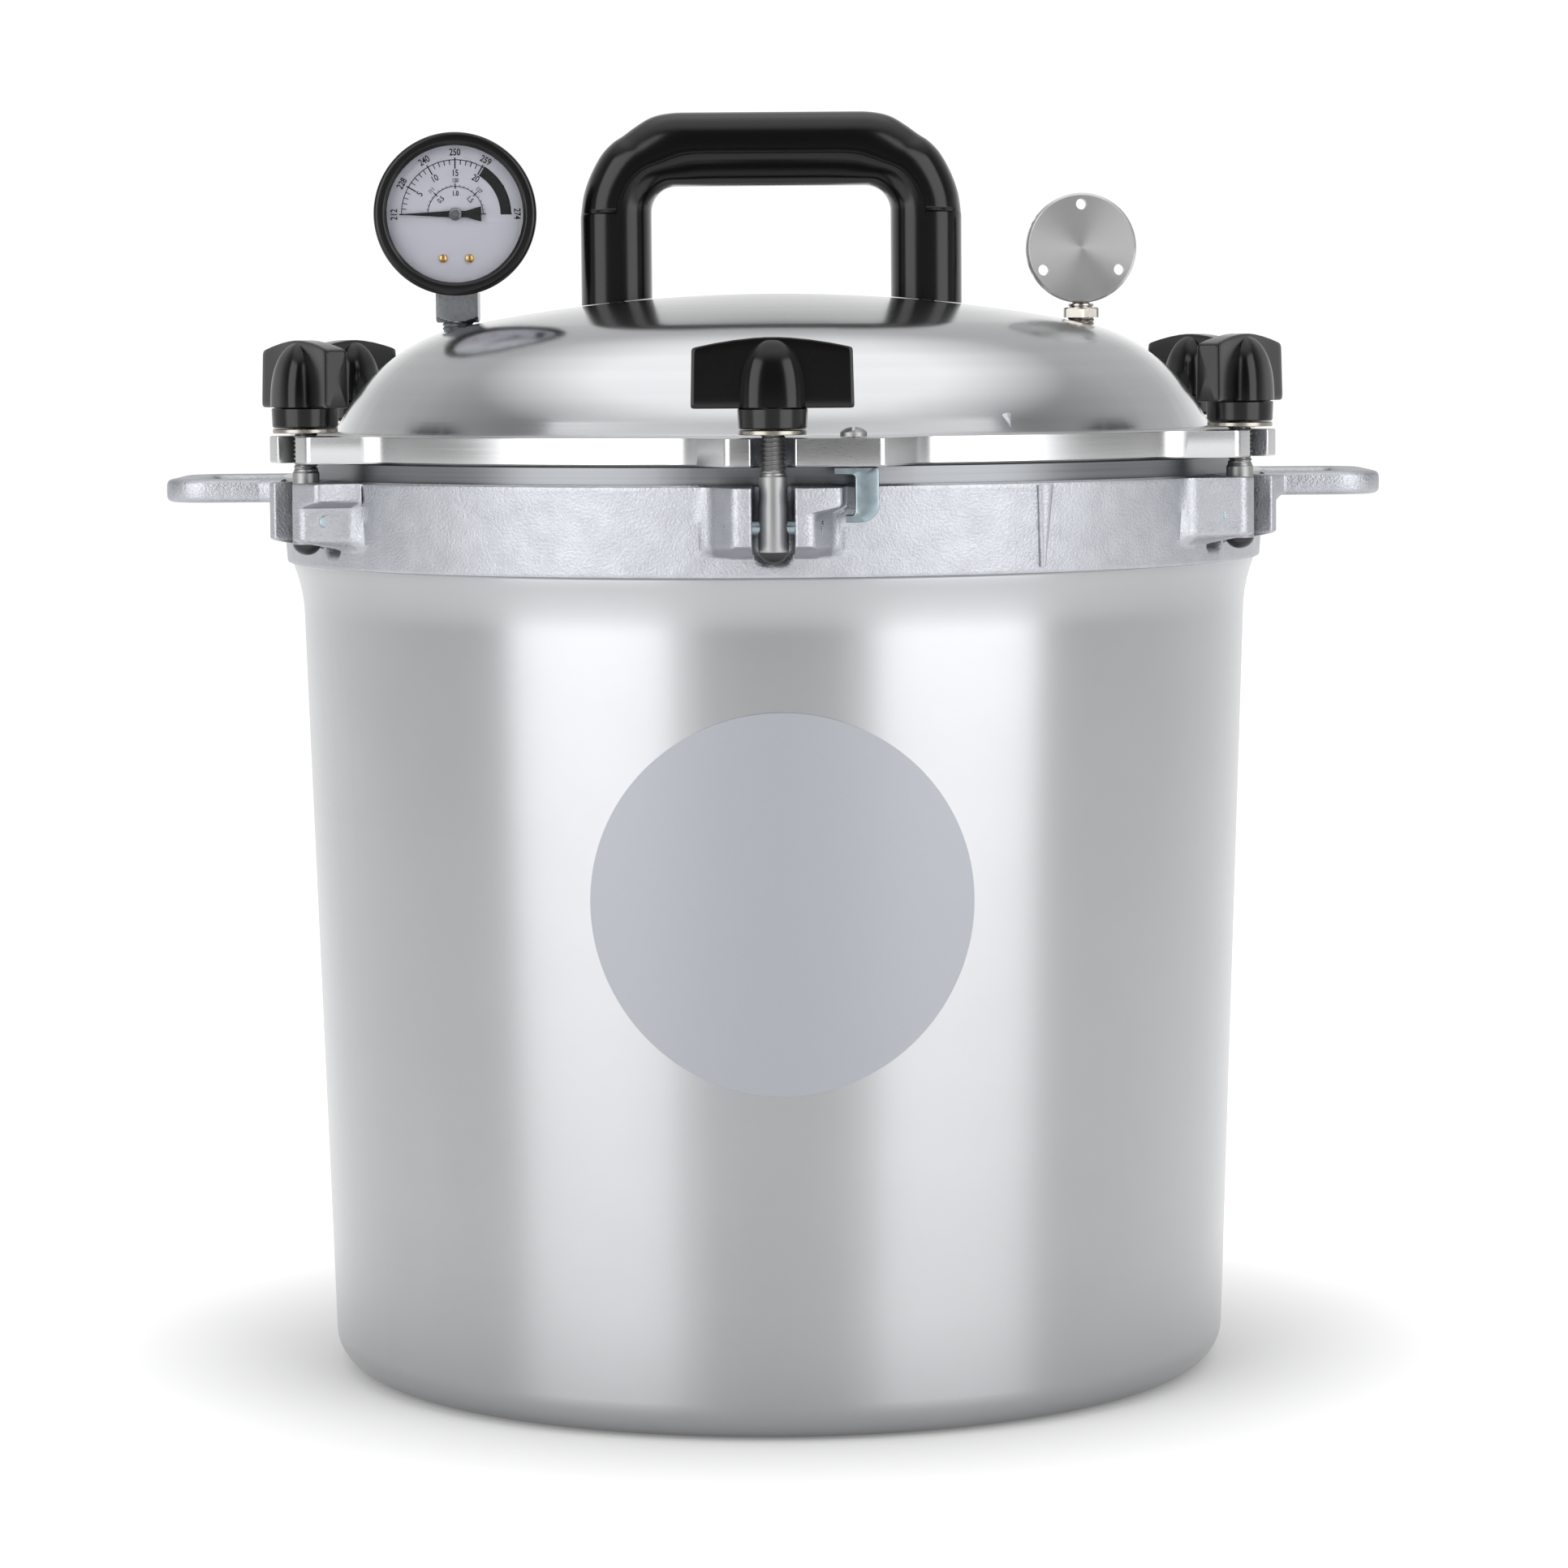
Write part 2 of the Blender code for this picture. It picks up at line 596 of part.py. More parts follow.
def nut_washer():
    inner = THREAD_RADIUS + GAP
    low = NUT_BOTTOM
    high = low + WASHER_THICKNESS
    return turned("washer", [(WASHER_RADIUS, high), (WASHER_RADIUS, low), (inner, low), (inner, high)],
                  SMALL_STEPS, ring=True)


def nut_insert():
    inner = THREAD_RADIUS + GAP
    low = NUT_BOTTOM + WASHER_THICKNESS + GAP
    high = low + INSERT_LENGTH
    return turned("insert", [(INSERT_RADIUS, high), (INSERT_RADIUS, low), (inner, low), (inner, high)],
                  12, ring=True)


def wing_nut():
    """Black wing nut: a round boss with a blind bore for its bush, and two wings along Y."""
    low = NUT_BOTTOM + WASHER_THICKNESS + GAP
    shelf = NUT_BOTTOM + BOSS_HEIGHT
    top = shelf + WING_HEIGHT
    bore = INSERT_RADIUS + GAP
    bore_top = low + max(INSERT_LENGTH, THREAD_END - low) + GAP
    hub = turned("hub", [(0, top - 0.5 * MM), (6 * MM, top - 1.5 * MM), (8.5 * MM, top - 5 * MM),
                         (9.5 * MM, shelf + 6 * MM), (BOSS_RADIUS, shelf), (BOSS_RADIUS, low),
                         (bore, low), (bore, bore_top), (0, bore_top)], SMALL_STEPS)
    rise = arc((0, shelf + 3 * MM - 98 * MM), WING_HEIGHT - 3 * MM + 98 * MM, 78, 102, 6)
    inner = 8.6 * MM
    outline = [(-WING_SPAN, shelf + 8 * MM), (-WING_SPAN + 5 * MM, shelf), (-inner, shelf),
               (-inner, top - 3 * MM)]
    outline += [point for point in rise if point[0] < -inner]
    wing = plate("wing", [outline], WING_THICKNESS)
    moved(wing, Matrix.Rotation(math.radians(90), 4, "Z") @ LAY_ON_Y)
    other = new_object("other_wing", wing.data.copy())
    moved(other, around(180))
    join(hub, wing)
    return join(hub, other)


def make_clamps():
    """Six clamps; each bolt swings out about its pin, and its nut runs along and round the bolt."""
    pin = rod("pin", PIN_RADIUS, -PIN_LENGTH / 2, PIN_LENGTH / 2, 12)
    moved(pin, LAY_ON_Y)
    shapes = (("clamp_bolt", clamp_bolt(), STEEL), ("clamp_pin", pin, ZINC),
              ("nut_washer", nut_washer(), STEEL), ("nut_insert", nut_insert(), BRASS),
              ("wing_nut", wing_nut(), PHENOLIC))
    first = {}
    for number, azimuth in enumerate(CLAMP_AZIMUTHS, start=1):
        place = around(azimuth) @ Vector((CLAMP_RADIUS, 0, PIN_HEIGHT))
        frame = empty("clamp_pivot_%d" % number, place, (0, 0, math.radians(azimuth)))
        for name, shape, mat in shapes:
            full_name = "%s_%d" % (name, number)
            if name in first:
                copy_of(first[name], full_name, frame)
            else:
                first[name] = keep(shape, full_name, mat, frame)


# ---------------------------------------------------------------- top handle

def make_handle():
    """Arched handle on two legs, with a screw and washer from inside the lid in each leg."""
    top = dome_height(0) + HANDLE_RISE
    gap_top = top - HANDLE_GRIP
    outer = HANDLE_HALF_WIDTH
    inner = outer - HANDLE_LEG
    foot_outer = dome_height(outer) + GAP
    foot_inner = dome_height(inner) + GAP
    shoulder_drop = 10.5 * MM
    right = [(inner, foot_inner), (outer, foot_outer), (outer, top - 28 * MM),
             (outer - 1.6 * MM, top - 20 * MM), (outer - 5.6 * MM, top - 14 * MM),
             (outer - 10 * MM, top - shoulder_drop), (outer - 17 * MM, top - 4.5 * MM),
             (outer - 30 * MM, top)]
    left = [(-x, z) for x, z in right[::-1]]
    corner = arc((HANDLE_CORNER - inner, gap_top - HANDLE_CORNER), HANDLE_CORNER, 180, 90, 3)
    inside = corner + [(-x, z) for x, z in corner[::-1]]
    handle = moved(plate("handle", [right + left + inside], HANDLE_DEPTH), LAY_ON_Y)
    screw_x = outer - HANDLE_LEG / 2
    base = dome_height(screw_x)
    for side in (-1, 1):
        hole = rod("hole", HANDLE_SCREW_RADIUS + GAP, POT_HEIGHT, base + HANDLE_SCREW_BITE + 2 * MM, 12)
        cut(handle, moved(hole, across(side * screw_x)))
    keep(handle, "top_handle", PHENOLIC)
    make_handle_screws(screw_x, base)


def make_handle_screws(screw_x, base):
    washer_radius = 6 * MM
    tilt = dome_height(screw_x, DOME_WALL) - dome_height(screw_x + washer_radius, DOME_WALL)
    washer_top = dome_height(screw_x, DOME_WALL) - tilt - GAP
    washer_low = washer_top - 1.2 * MM
    head_top = washer_low - GAP
    head_low = head_top - 3.6 * MM
    shank = HANDLE_SCREW_RADIUS
    for side, word in ((-1, "left"), (1, "right")):
        screw = turned("screw", [(0, base + HANDLE_SCREW_BITE), (shank, base + HANDLE_SCREW_BITE),
                                 (shank, head_top), (5 * MM, head_top), (5 * MM, head_low + 1 * MM),
                                 (3.5 * MM, head_low), (0, head_low)], 12)
        keep(moved(screw, across(side * screw_x)), "handle_screw_" + word, STEEL)
        bore = shank + GAP
        washer = turned("washer", [(washer_radius, washer_top), (washer_radius, washer_low),
                                   (bore, washer_low), (bore, washer_top)], 14, ring=True)
        keep(moved(washer, across(side * screw_x)), "handle_washer_" + word, STEEL)


# ---------------------------------------------------------------- gauge

def make_gauge():
    """Dial gauge. In its frame X is right, Y is up and Z points at the reader."""
    height = dome_height(-GAUGE_X) + GAUGE_RISE
    frame = empty("gauge_centre", (GAUGE_X, 0, height), (math.radians(90), 0, 0))
    case_radius = BEZEL_RADIUS - BEZEL_WALL - GAP
    lens_front = GAUGE_FRONT - 1.5 * MM - GAP
    lens_back = lens_front - LENS_THICKNESS
    make_gauge_shell(frame, case_radius, lens_front, lens_back)
    make_gauge_socket(frame, case_radius)
    make_movement(frame, lens_back)


def make_gauge_shell(frame, case_radius, lens_front, lens_back):
    inner = case_radius - CASE_WALL
    back = -CASE_BACK
    rim = lens_back - GAP
    case = turned("case", [(0, back + CASE_WALL), (inner, back + CASE_WALL), (inner, rim),
                           (case_radius, rim), (case_radius, back + 2 * MM),
                           (case_radius - 2 * MM, back), (0, back)], 32)
    tongue = tongue_box(case_radius, GAP)
    cut(case, tongue)
    keep(case, "gauge_case", BLACK_CASE, frame)

    bezel = turned("bezel", [(BEZEL_RADIUS - 1 * MM, GAUGE_FRONT), (BEZEL_RADIUS, GAUGE_FRONT - 1 * MM),
                             (BEZEL_RADIUS, GAUGE_FRONT - BEZEL_DEPTH),
                             (case_radius + GAP, GAUGE_FRONT - BEZEL_DEPTH),
                             (case_radius + GAP, lens_front + GAP), (BEZEL_OPENING, lens_front + GAP),
                             (BEZEL_OPENING, GAUGE_FRONT)], 32, ring=True)
    keep(bezel, "gauge_bezel", BLACK_CASE, frame)
    keep(rod("lens", case_radius - 0.5 * MM, lens_back, lens_front, 32), "gauge_lens", GLASS, frame)


def tongue_box(case_radius, clearance):
    """The part of the socket that passes through the case."""
    half = 6 * MM + clearance
    return block("tongue", (-half, -case_radius - 2 * MM, -7 * MM - clearance),
                 (half, -MOVEMENT_RADIUS - MOVEMENT_CLEARANCE, 4 * MM + clearance))


def make_gauge_socket(frame, case_radius):
    half = SOCKET_WIDTH / 2
    top = -case_radius - GAP
    foot = dome_height(-GAUGE_X - half) + GAP - dome_height(-GAUGE_X) - GAUGE_RISE
    socket = block("socket", (-half, foot, -half), (half, top, half))
    join(socket, tongue_box(case_radius, 0))
    neck_low = foot - DOME_WALL - 3.5 * MM
    neck = moved(rod("neck", NECK_RADIUS, neck_low, foot + 1 * MM), Matrix.Rotation(-math.pi / 2, 4, "X"))
    join(socket, neck)
    bore = moved(rod("bore", 1.5 * MM, neck_low - 1 * MM, top, 10), Matrix.Rotation(-math.pi / 2, 4, "X"))
    cut(socket, bore)
    keep(socket, "gauge_socket", BRASS, frame)


def gear_teeth(pitch_radius, offsets, tooth_angle):
    """Outline points of slim teeth centred at the given angles, in degrees, in rising order."""
    root = pitch_radius - 1.2 * GEAR_MODULE
    tip = pitch_radius + 0.8 * GEAR_MODULE
    points = []
    for middle in offsets:
        for radius, side in ((root, -0.3), (tip, -0.1), (tip, 0.1), (root, 0.3)):
            points += arc((0, 0), radius, middle + side * tooth_angle, 0, 1)[:1]
    return points


def sector_outline(pitch_radius, middle, tooth_angle):
    """A toothed sector with a round hub, for a pivot at the origin."""
    offsets = [middle + (k + 0.5) * tooth_angle for k in range(-6, 2)]
    hub = 2.2 * MM
    teeth = gear_teeth(pitch_radius, offsets, tooth_angle)
    start = offsets[0] - tooth_angle
    end = offsets[-1] + tooth_angle
    rim = pitch_radius - 1.2 * GEAR_MODULE
    return (arc((0, 0), rim, start, 0, 1)[:1] + teeth + arc((0, 0), rim, end, 0, 1)[:1]
            + arc((0, 0), hub, end + 60, start + 300, 6))


def make_movement(frame, lens_back):
    """Dial, pointer with its pinion, sector gear, Bourdon tube and the plate that holds them."""
    pinion_radius = GEAR_MODULE * PINION_TEETH / 2
    sector_radius = pinion_radius * GEAR_RATIO
    direction = math.radians(SECTOR_DIRECTION)
    distance = pinion_radius + sector_radius
    pivot = (distance * math.cos(direction), distance * math.sin(direction))
    plate_front = -3.2 * MM
    plate_back = plate_front - 1 * MM
    arbor = 0.7 * MM
    dial_front = lens_back - 2.4 * MM
    dial_back = dial_front - 0.6 * MM
    case_inner = BEZEL_RADIUS - BEZEL_WALL - GAP - CASE_WALL

    dial = rod("dial", case_inner - GAP, dial_back, dial_front, 32)
    cut(dial, rod("hole", 1.6 * MM, dial_back - 1 * MM, dial_front + 1 * MM, 12))
    base = rod("plate", MOVEMENT_RADIUS, plate_back, plate_front, 24)
    cut(base, rod("hole", arbor + GAP, plate_back - 1 * MM, plate_front + 1 * MM, 10))
    for side in (-1, 1):
        for piece in (dial, base):
            hole = rod("hole", 0.8 * MM + GAP, plate_back - 1 * MM, dial_front + 1 * MM, 8)
            cut(piece, moved(hole, across(side * DIAL_SCREW_X, -DIAL_SCREW_DROP)))
    stud = rod("stud", arbor, plate_back + 0.2 * MM, plate_front + 2 * MM, 10)
    join(base, moved(stud, across(*pivot)))
    keep(dial, "gauge_dial", DIAL_GREY, frame)
    keep(base, "movement_plate", BRASS, frame)

    for side, word in ((-1, "left"), (1, "right")):
        head = dial_front + GAP
        screw = turned("screw", [(0, head + 0.9 * MM), (1 * MM, head + 0.8 * MM), (1.4 * MM, head),
                                 (0.8 * MM, head), (0.8 * MM, plate_back), (0, plate_back)], 10)
        keep(moved(screw, across(side * DIAL_SCREW_X, -DIAL_SCREW_DROP)), "dial_screw_" + word,
             BRASS, frame)

    sector_plate = plate("sector", [sector_outline(sector_radius, SECTOR_DIRECTION + 180,
                                                   360 / (PINION_TEETH * GEAR_RATIO))], 0.8 * MM)
    cut(sector_plate, rod("hole", arbor + GAP, -2 * MM, 2 * MM, 10))
    keep(sector_plate, "sector_gear", BRASS, frame, (*pivot, plate_front + 1 * MM))
    make_pointer(frame, pinion_radius, plate_front, plate_back, dial_front, lens_back, arbor)
    make_bourdon(frame, case_inner + CASE_WALL)


def make_pointer(frame, pinion_radius, plate_front, plate_back, dial_front, lens_back, arbor):
    """Pointer, boss, arbor and pinion, pressed together into one piece; it points left at rest."""
    thick = 0.5 * MM
    height = dial_front + 1.2 * MM
    outline = [(-POINTER_LENGTH, 0), (-3 * MM, 1.3 * MM), (3 * MM, 1.0 * MM),
               (POINTER_TAIL, 2.6 * MM), (POINTER_TAIL, -2.6 * MM), (3 * MM, -1.0 * MM),
               (-3 * MM, -1.3 * MM)]
    hand = moved(plate("hand", [outline[::-1]], thick), across(z=height))
    join(hand, rod("boss", 2.2 * MM, height - 0.6 * MM, min(height + 0.8 * MM, lens_back - GAP), 12))
    join(hand, rod("arbor", arbor, plate_back - 0.4 * MM, height, 10))
    angle = 360 / PINION_TEETH
    offsets = [SECTOR_DIRECTION + k * angle for k in range(PINION_TEETH)]
    pinion = plate("pinion", [gear_teeth(pinion_radius, offsets, angle)], 1.4 * MM)
    join(hand, moved(pinion, across(z=plate_front + 1 * MM)))
    keep(hand, "gauge_pointer", BLACK_CASE, frame)


def make_bourdon(frame, case_radius):
    """C-shaped tube that starts beside the socket's tongue."""
    radius = case_radius - CASE_WALL - BOURDON_CLEARANCE - BOURDON_TUBE
    start = -90 + math.degrees(math.asin((6 * MM + GAP + 0.7 * MM) / radius))
    curve = bpy.data.curves.new("bourdon", "CURVE")
    curve.dimensions = "3D"
    curve.bevel_depth = BOURDON_TUBE
    curve.bevel_resolution = 2
    curve.use_fill_caps = True
    points = arc((0, 0), radius, start, 180, 20)
    spline = curve.splines.new("POLY")
    spline.points.add(len(points) - 1)
    for point, (x, y) in zip(spline.points, points):
        point.co = (x, y, -CASE_BACK + 6 * MM, 1)
    keep(baked(new_object("bourdon", curve)), "bourdon_tube", BRASS, frame)


# ---------------------------------------------------------------- vent pipe, weight, plug, rack

def make_vent_and_weight():
    base = dome_height(VENT_X)
    hex_low = dome_height(VENT_X - VENT_HEX_RADIUS) + GAP
    hex_high = hex_low + 3.4 * MM
    neck_high = base + WEIGHT_RISE - WEIGHT_RADIUS - GAP
    tip = neck_high + 8 * MM
    pipe = rod("pipe", VENT_HEX_RADIUS, hex_low, hex_high, 6)
    join(pipe, rod("thread", VENT_THREAD_RADIUS, base - DOME_WALL - 3 * MM, hex_low + 1 * MM))
    join(pipe, rod("neck", VENT_NECK_RADIUS, hex_high - 1 * MM, neck_high))
    join(pipe, rod("tip", VENT_TIP_RADIUS, neck_high - 1 * MM, tip, SMALL_STEPS, 2.4 * MM))
    cut(pipe, rod("bore", VENT_BORE, base - 20 * MM, tip + 5 * MM, 10))
    keep(pipe, "vent_pipe", STAINLESS, None, (VENT_X, 0, 0))

    centre = base + WEIGHT_RISE
    half = WEIGHT_THICKNESS / 2
    edge = 0.8 * MM
    weight = turned("weight", [(0, half), (WEIGHT_RADIUS - edge, half), (WEIGHT_RADIUS, half - edge),
                               (WEIGHT_RADIUS, edge - half), (WEIGHT_RADIUS - edge, -half),
                               (0, -half)], 36)
    moved(weight, LAY_ON_Y)
    depth = tip + 1 * MM - centre
    for turn in (0, 120, 240):
        spin = Matrix.Rotation(math.radians(turn), 4, "Y")
        cut(weight, moved(rod("bore", VENT_TIP_RADIUS + GAP, -2 * WEIGHT_RADIUS, depth, 12), spin))
        hole = moved(rod("hole", WEIGHT_HOLE_RADIUS, -WEIGHT_THICKNESS, WEIGHT_THICKNESS, 10), LAY_ON_Y)
        cut(weight, moved(hole, spin @ across(z=WEIGHT_HOLE_CIRCLE)))
    keep(weight, "pressure_weight", STAINLESS, None, (VENT_X, 0, centre))


def make_plug():
    """Rubber overpressure plug at the back of the dome."""
    base = dome_height(PLUG_Y)
    slope = dome_height(PLUG_Y - PLUG_HEAD_RADIUS) - base
    low = base + slope + GAP
    foot = base - DOME_WALL - 3 * MM
    plug = turned("plug", [(0, low + 3 * MM), (PLUG_HEAD_RADIUS - 3 * MM, low + 3 * MM),
                           (PLUG_HEAD_RADIUS, low + 1 * MM), (PLUG_HEAD_RADIUS, low),
                           (PLUG_STEM_RADIUS, low), (PLUG_STEM_RADIUS - 0.5 * MM, foot), (0, foot)])
    keep(plug, "overpressure_plug", RUBBER, None, (0, PLUG_Y, 0))


def make_rack():
    """Perforated sheet with a turned-down rim that stands on the pot's floor."""
    floor = POT_FLOOR + GAP
    top = floor + RACK_HEIGHT
    radius = POT_FOOT_RADIUS - POT_WALL - FLOOR_CORNER - RACK_RADIUS_CLEARANCE
    bend = 2 * MM
    rack = turned("rack", [(0, top), (radius - bend, top), (radius, top - bend), (radius, floor),
                           (radius - RACK_SHEET, floor), (radius - RACK_SHEET, top - bend),
                           (radius - bend - RACK_SHEET / 2, top - RACK_SHEET), (0, top - RACK_SHEET)],
                  ROUND_STEPS)
    for row in range(-2, 3):
        for column in range(-3, 4):
            x = RACK_HOLE_PITCH * (column + row / 2)
            y = RACK_HOLE_PITCH * row * math.sqrt(3) / 2
            if math.hypot(x, y) + RACK_HOLE_RADIUS + 6 * MM < radius:
                hole = rod("hole", RACK_HOLE_RADIUS, floor, top + 5 * MM, 12)
                cut(rack, moved(hole, around(RACK_TURN) @ across(x, y)))
    keep(rack, "jar_rack", POLISHED)


make_pot()
make_lid()
make_hook()
make_clamps()
make_handle()
make_gauge()
make_vent_and_weight()
make_plug()
make_rack()
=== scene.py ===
import math

import bmesh
import bpy
import numpy as np
from mathutils import Matrix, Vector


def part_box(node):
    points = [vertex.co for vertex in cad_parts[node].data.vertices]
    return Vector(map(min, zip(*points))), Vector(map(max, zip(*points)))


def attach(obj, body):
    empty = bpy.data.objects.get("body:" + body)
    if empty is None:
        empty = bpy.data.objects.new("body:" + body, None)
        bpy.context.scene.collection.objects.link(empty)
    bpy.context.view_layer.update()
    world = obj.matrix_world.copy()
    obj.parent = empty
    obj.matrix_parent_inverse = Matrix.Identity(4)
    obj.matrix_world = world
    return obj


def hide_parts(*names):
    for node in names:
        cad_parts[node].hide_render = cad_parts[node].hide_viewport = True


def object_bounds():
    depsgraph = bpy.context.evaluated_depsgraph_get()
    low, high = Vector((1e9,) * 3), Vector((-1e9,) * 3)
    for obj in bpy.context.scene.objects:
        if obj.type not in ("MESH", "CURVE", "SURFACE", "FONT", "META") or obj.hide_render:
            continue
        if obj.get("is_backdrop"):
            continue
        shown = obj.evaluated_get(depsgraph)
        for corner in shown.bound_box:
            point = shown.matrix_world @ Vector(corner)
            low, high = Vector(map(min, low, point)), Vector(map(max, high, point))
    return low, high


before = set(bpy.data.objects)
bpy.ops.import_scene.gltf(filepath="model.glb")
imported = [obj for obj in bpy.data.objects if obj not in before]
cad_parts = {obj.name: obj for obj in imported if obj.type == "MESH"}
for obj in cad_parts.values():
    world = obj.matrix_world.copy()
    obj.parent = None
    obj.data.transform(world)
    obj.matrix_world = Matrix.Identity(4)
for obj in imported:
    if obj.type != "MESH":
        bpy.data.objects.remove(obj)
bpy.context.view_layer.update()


# ---------------------------------------------------------------------------------------------
# Pot casting. Sand-cast aluminium, machined inside and on its wall, with the collar and its six
# slotted clamp lugs left as cast. The mouth has a turned 45 degree seat for the lid.

MM = 0.001
CLAMP_AZIMUTHS = (270, 330, 30, 90, 150, 210)
POT_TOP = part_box("pot_body")[1].z
WALL_TOP_RADIUS = 161.0 * MM
WALL_FOOT_RADIUS = 153.5 * MM
WALL = 5.5 * MM
FLOOR = 7 * MM
BASE_CORNER = 12.5 * MM
FLARE_FOOT = 258 * MM
GAP = 0.3 * MM                  # air left under pieces that stand on the lid
COLLAR_RADIUS = 168.5 * MM
COLLAR_FOOT = POT_TOP - 28.5 * MM
SEAT_DEPTH = 8.5 * MM
CLAMP_RADIUS = 176.0 * MM
PIN_HEIGHT = POT_TOP - 12.7 * MM
SLOT_HALF = 6.65 * MM
EAR_RADIUS = 184.5 * MM


def wall_radius(height):
    """Radius of the wall's cone at a height between the base's corner and the flare."""
    share = (height - BASE_CORNER) / (FLARE_FOOT - BASE_CORNER)
    return WALL_FOOT_RADIUS + (WALL_TOP_RADIUS - WALL_FOOT_RADIUS) * share


def rounded(points, radii, steps=6):
    """Open path through the points; each corner becomes a tangent arc of its radius."""
    points = np.asarray(points, float)
    path = [points[:1]]
    for before, corner, after, radius in zip(points, points[1:], points[2:], radii):
        one = (before - corner) / np.linalg.norm(before - corner)
        two = (after - corner) / np.linalg.norm(after - corner)
        half = math.acos(float(np.clip(one @ two, -1, 1))) / 2
        middle = (one + two) / np.linalg.norm(one + two)
        centre = corner + middle * radius / math.sin(half)
        start = corner + one * radius / math.tan(half) - centre
        end = corner + two * radius / math.tan(half) - centre
        turn = math.pi - 2 * half
        share = np.linspace(0, 1, steps)[:, None]
        path.append(centre + (start * np.sin((1 - share) * turn) + end * np.sin(share * turn))
                    / math.sin(turn))
    path.append(points[-1:])
    return np.concatenate(path)


def smooth(low, high, value):
    """Smooth step from 0 at low to 1 at high: 3 t squared minus 2 t cubed."""
    t = np.clip((value - low) / (high - low), 0, 1)
    return t * t * (3 - 2 * t)


def on_circle(radius, side):
    """Point of a circle about the axis at a side distance from the +X axis."""
    return (math.sqrt(radius ** 2 - side ** 2), side)


def sixth(lug_path, radius, side, arc_steps):
    """A sixth of a flange's outline: arc from -30 degrees, the lug's path, and arc to +30 degrees."""
    first = math.asin(side[0] / radius)
    last = math.asin(side[1] / radius)
    low = np.linspace(-math.pi / 6, first, arc_steps, endpoint=False)
    high = np.linspace(last, math.pi / 6, arc_steps + 1)[1:-1]
    arcs = [np.stack([radius * np.cos(a), radius * np.sin(a)], 1) for a in (low, high)]
    return np.concatenate([arcs[0], lug_path, arcs[1]])


def turn_to(points, azimuth):
    """Plan points turned about the axis to an azimuth in degrees."""
    angle = math.radians(azimuth)
    turn = np.array([[math.cos(angle), math.sin(angle)], [-math.sin(angle), math.cos(angle)]])
    return points @ turn


def grid_faces(rows, columns):
    """Quads between neighbouring rows of a grid whose columns close on themselves."""
    row, column = np.meshgrid(np.arange(rows - 1), np.arange(columns), indexing="ij")
    here = row * columns + column
    side = row * columns + (column + 1) % columns
    return np.stack([here, side, side + columns, here + columns], -1).reshape(-1, 4)


def signed_volume(vertices, faces):
    """Volume inside the quads by the divergence theorem; negative when they face inwards."""
    a, b, c, d = (vertices[faces[:, i]] for i in range(4))
    triangles = np.einsum("ij,ij->i", a, np.cross(b, c)) + np.einsum("ij,ij->i", a, np.cross(c, d))
    return triangles.sum() / 6


def piece(name, grids, body, materials, replaces=(), row_materials=None, sharp=32):
    """One object from point grids (rows x columns x 3). Columns close on themselves, rows that shrink
    to a point become poles, and every shell is turned to face outwards."""
    vertices, faces, marks, offset = [], [], [], 0
    for grid in grids:
        rows, columns = grid.shape[:2]
        flat = grid.reshape(-1, 3)
        quads = grid_faces(rows, columns)
        if signed_volume(flat, quads) < 0:
            quads = quads[:, ::-1]
        vertices.append(flat)
        faces.append(quads + offset)
        offset += len(flat)
        if row_materials is None:
            marks.append(np.zeros(len(quads), int))
        elif row_materials.ndim == 1:
            marks.append(np.repeat(row_materials, columns))
        else:
            marks.append(row_materials.ravel())
    mesh = bpy.data.meshes.new(name)
    mesh.from_pydata(np.concatenate(vertices).tolist(), [], np.concatenate(faces).tolist())
    mesh.polygons.foreach_set("material_index", np.concatenate(marks).astype(np.int32))
    weld = bmesh.new()
    weld.from_mesh(mesh)
    bmesh.ops.remove_doubles(weld, verts=weld.verts, dist=1e-7)
    bmesh.ops.dissolve_degenerate(weld, edges=weld.edges, dist=1e-7)
    weld.to_mesh(mesh)
    weld.free()
    return finish_piece(name, mesh, body, materials, replaces, sharp)


def finish_piece(name, mesh, body, materials, replaces=(), sharp=32):
    """Shade a mesh, give it its materials and let it ride on its body."""
    mesh.shade_smooth()
    mesh.set_sharp_from_angle(angle=math.radians(sharp))
    for material in materials:
        mesh.materials.append(material)
    obj = bpy.data.objects.new(name, mesh)
    bpy.context.scene.collection.objects.link(obj)
    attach(obj, body)
    if replaces:
        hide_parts(*replaces)
    return obj


def srgb(code):
    """Linear RGBA of an sRGB hex colour."""
    value = np.array([int(code[i:i + 2], 16) for i in (0, 2, 4)]) / 255
    linear = np.where(value <= 0.04045, value / 12.92, ((value + 0.055) / 1.055) ** 2.4)
    return (*linear.tolist(), 1.0)


def add_node(tree, kind, inputs=None, **settings):
    """Add a node with its settings, and link or set its inputs."""
    node = tree.nodes.new(kind)
    for name, value in settings.items():
        setattr(node, name, value)
    for name, value in (inputs or {}).items():
        if isinstance(value, bpy.types.NodeSocket):
            tree.links.new(value, node.inputs[name])
        else:
            node.inputs[name].default_value = value
    return node


def new_material(name):
    """A material with an empty tree but for its output, and the point being shaded in millimetres."""
    material = bpy.data.materials.new(name)
    material.use_nodes = True
    tree = material.node_tree
    tree.nodes.clear()
    place = add_node(tree, "ShaderNodeTexCoord").outputs["Object"]
    scaled = add_node(tree, "ShaderNodeVectorMath", {0: place, "Scale": 1000.0}, operation="SCALE")
    return material, tree, scaled.outputs["Vector"]


def close_material(material, tree, inputs):
    """Give the material its surface: one Principled shader with these inputs."""
    shader = add_node(tree, "ShaderNodeBsdfPrincipled", inputs)
    add_node(tree, "ShaderNodeOutputMaterial", {"Surface": shader.outputs["BSDF"]})
    return material


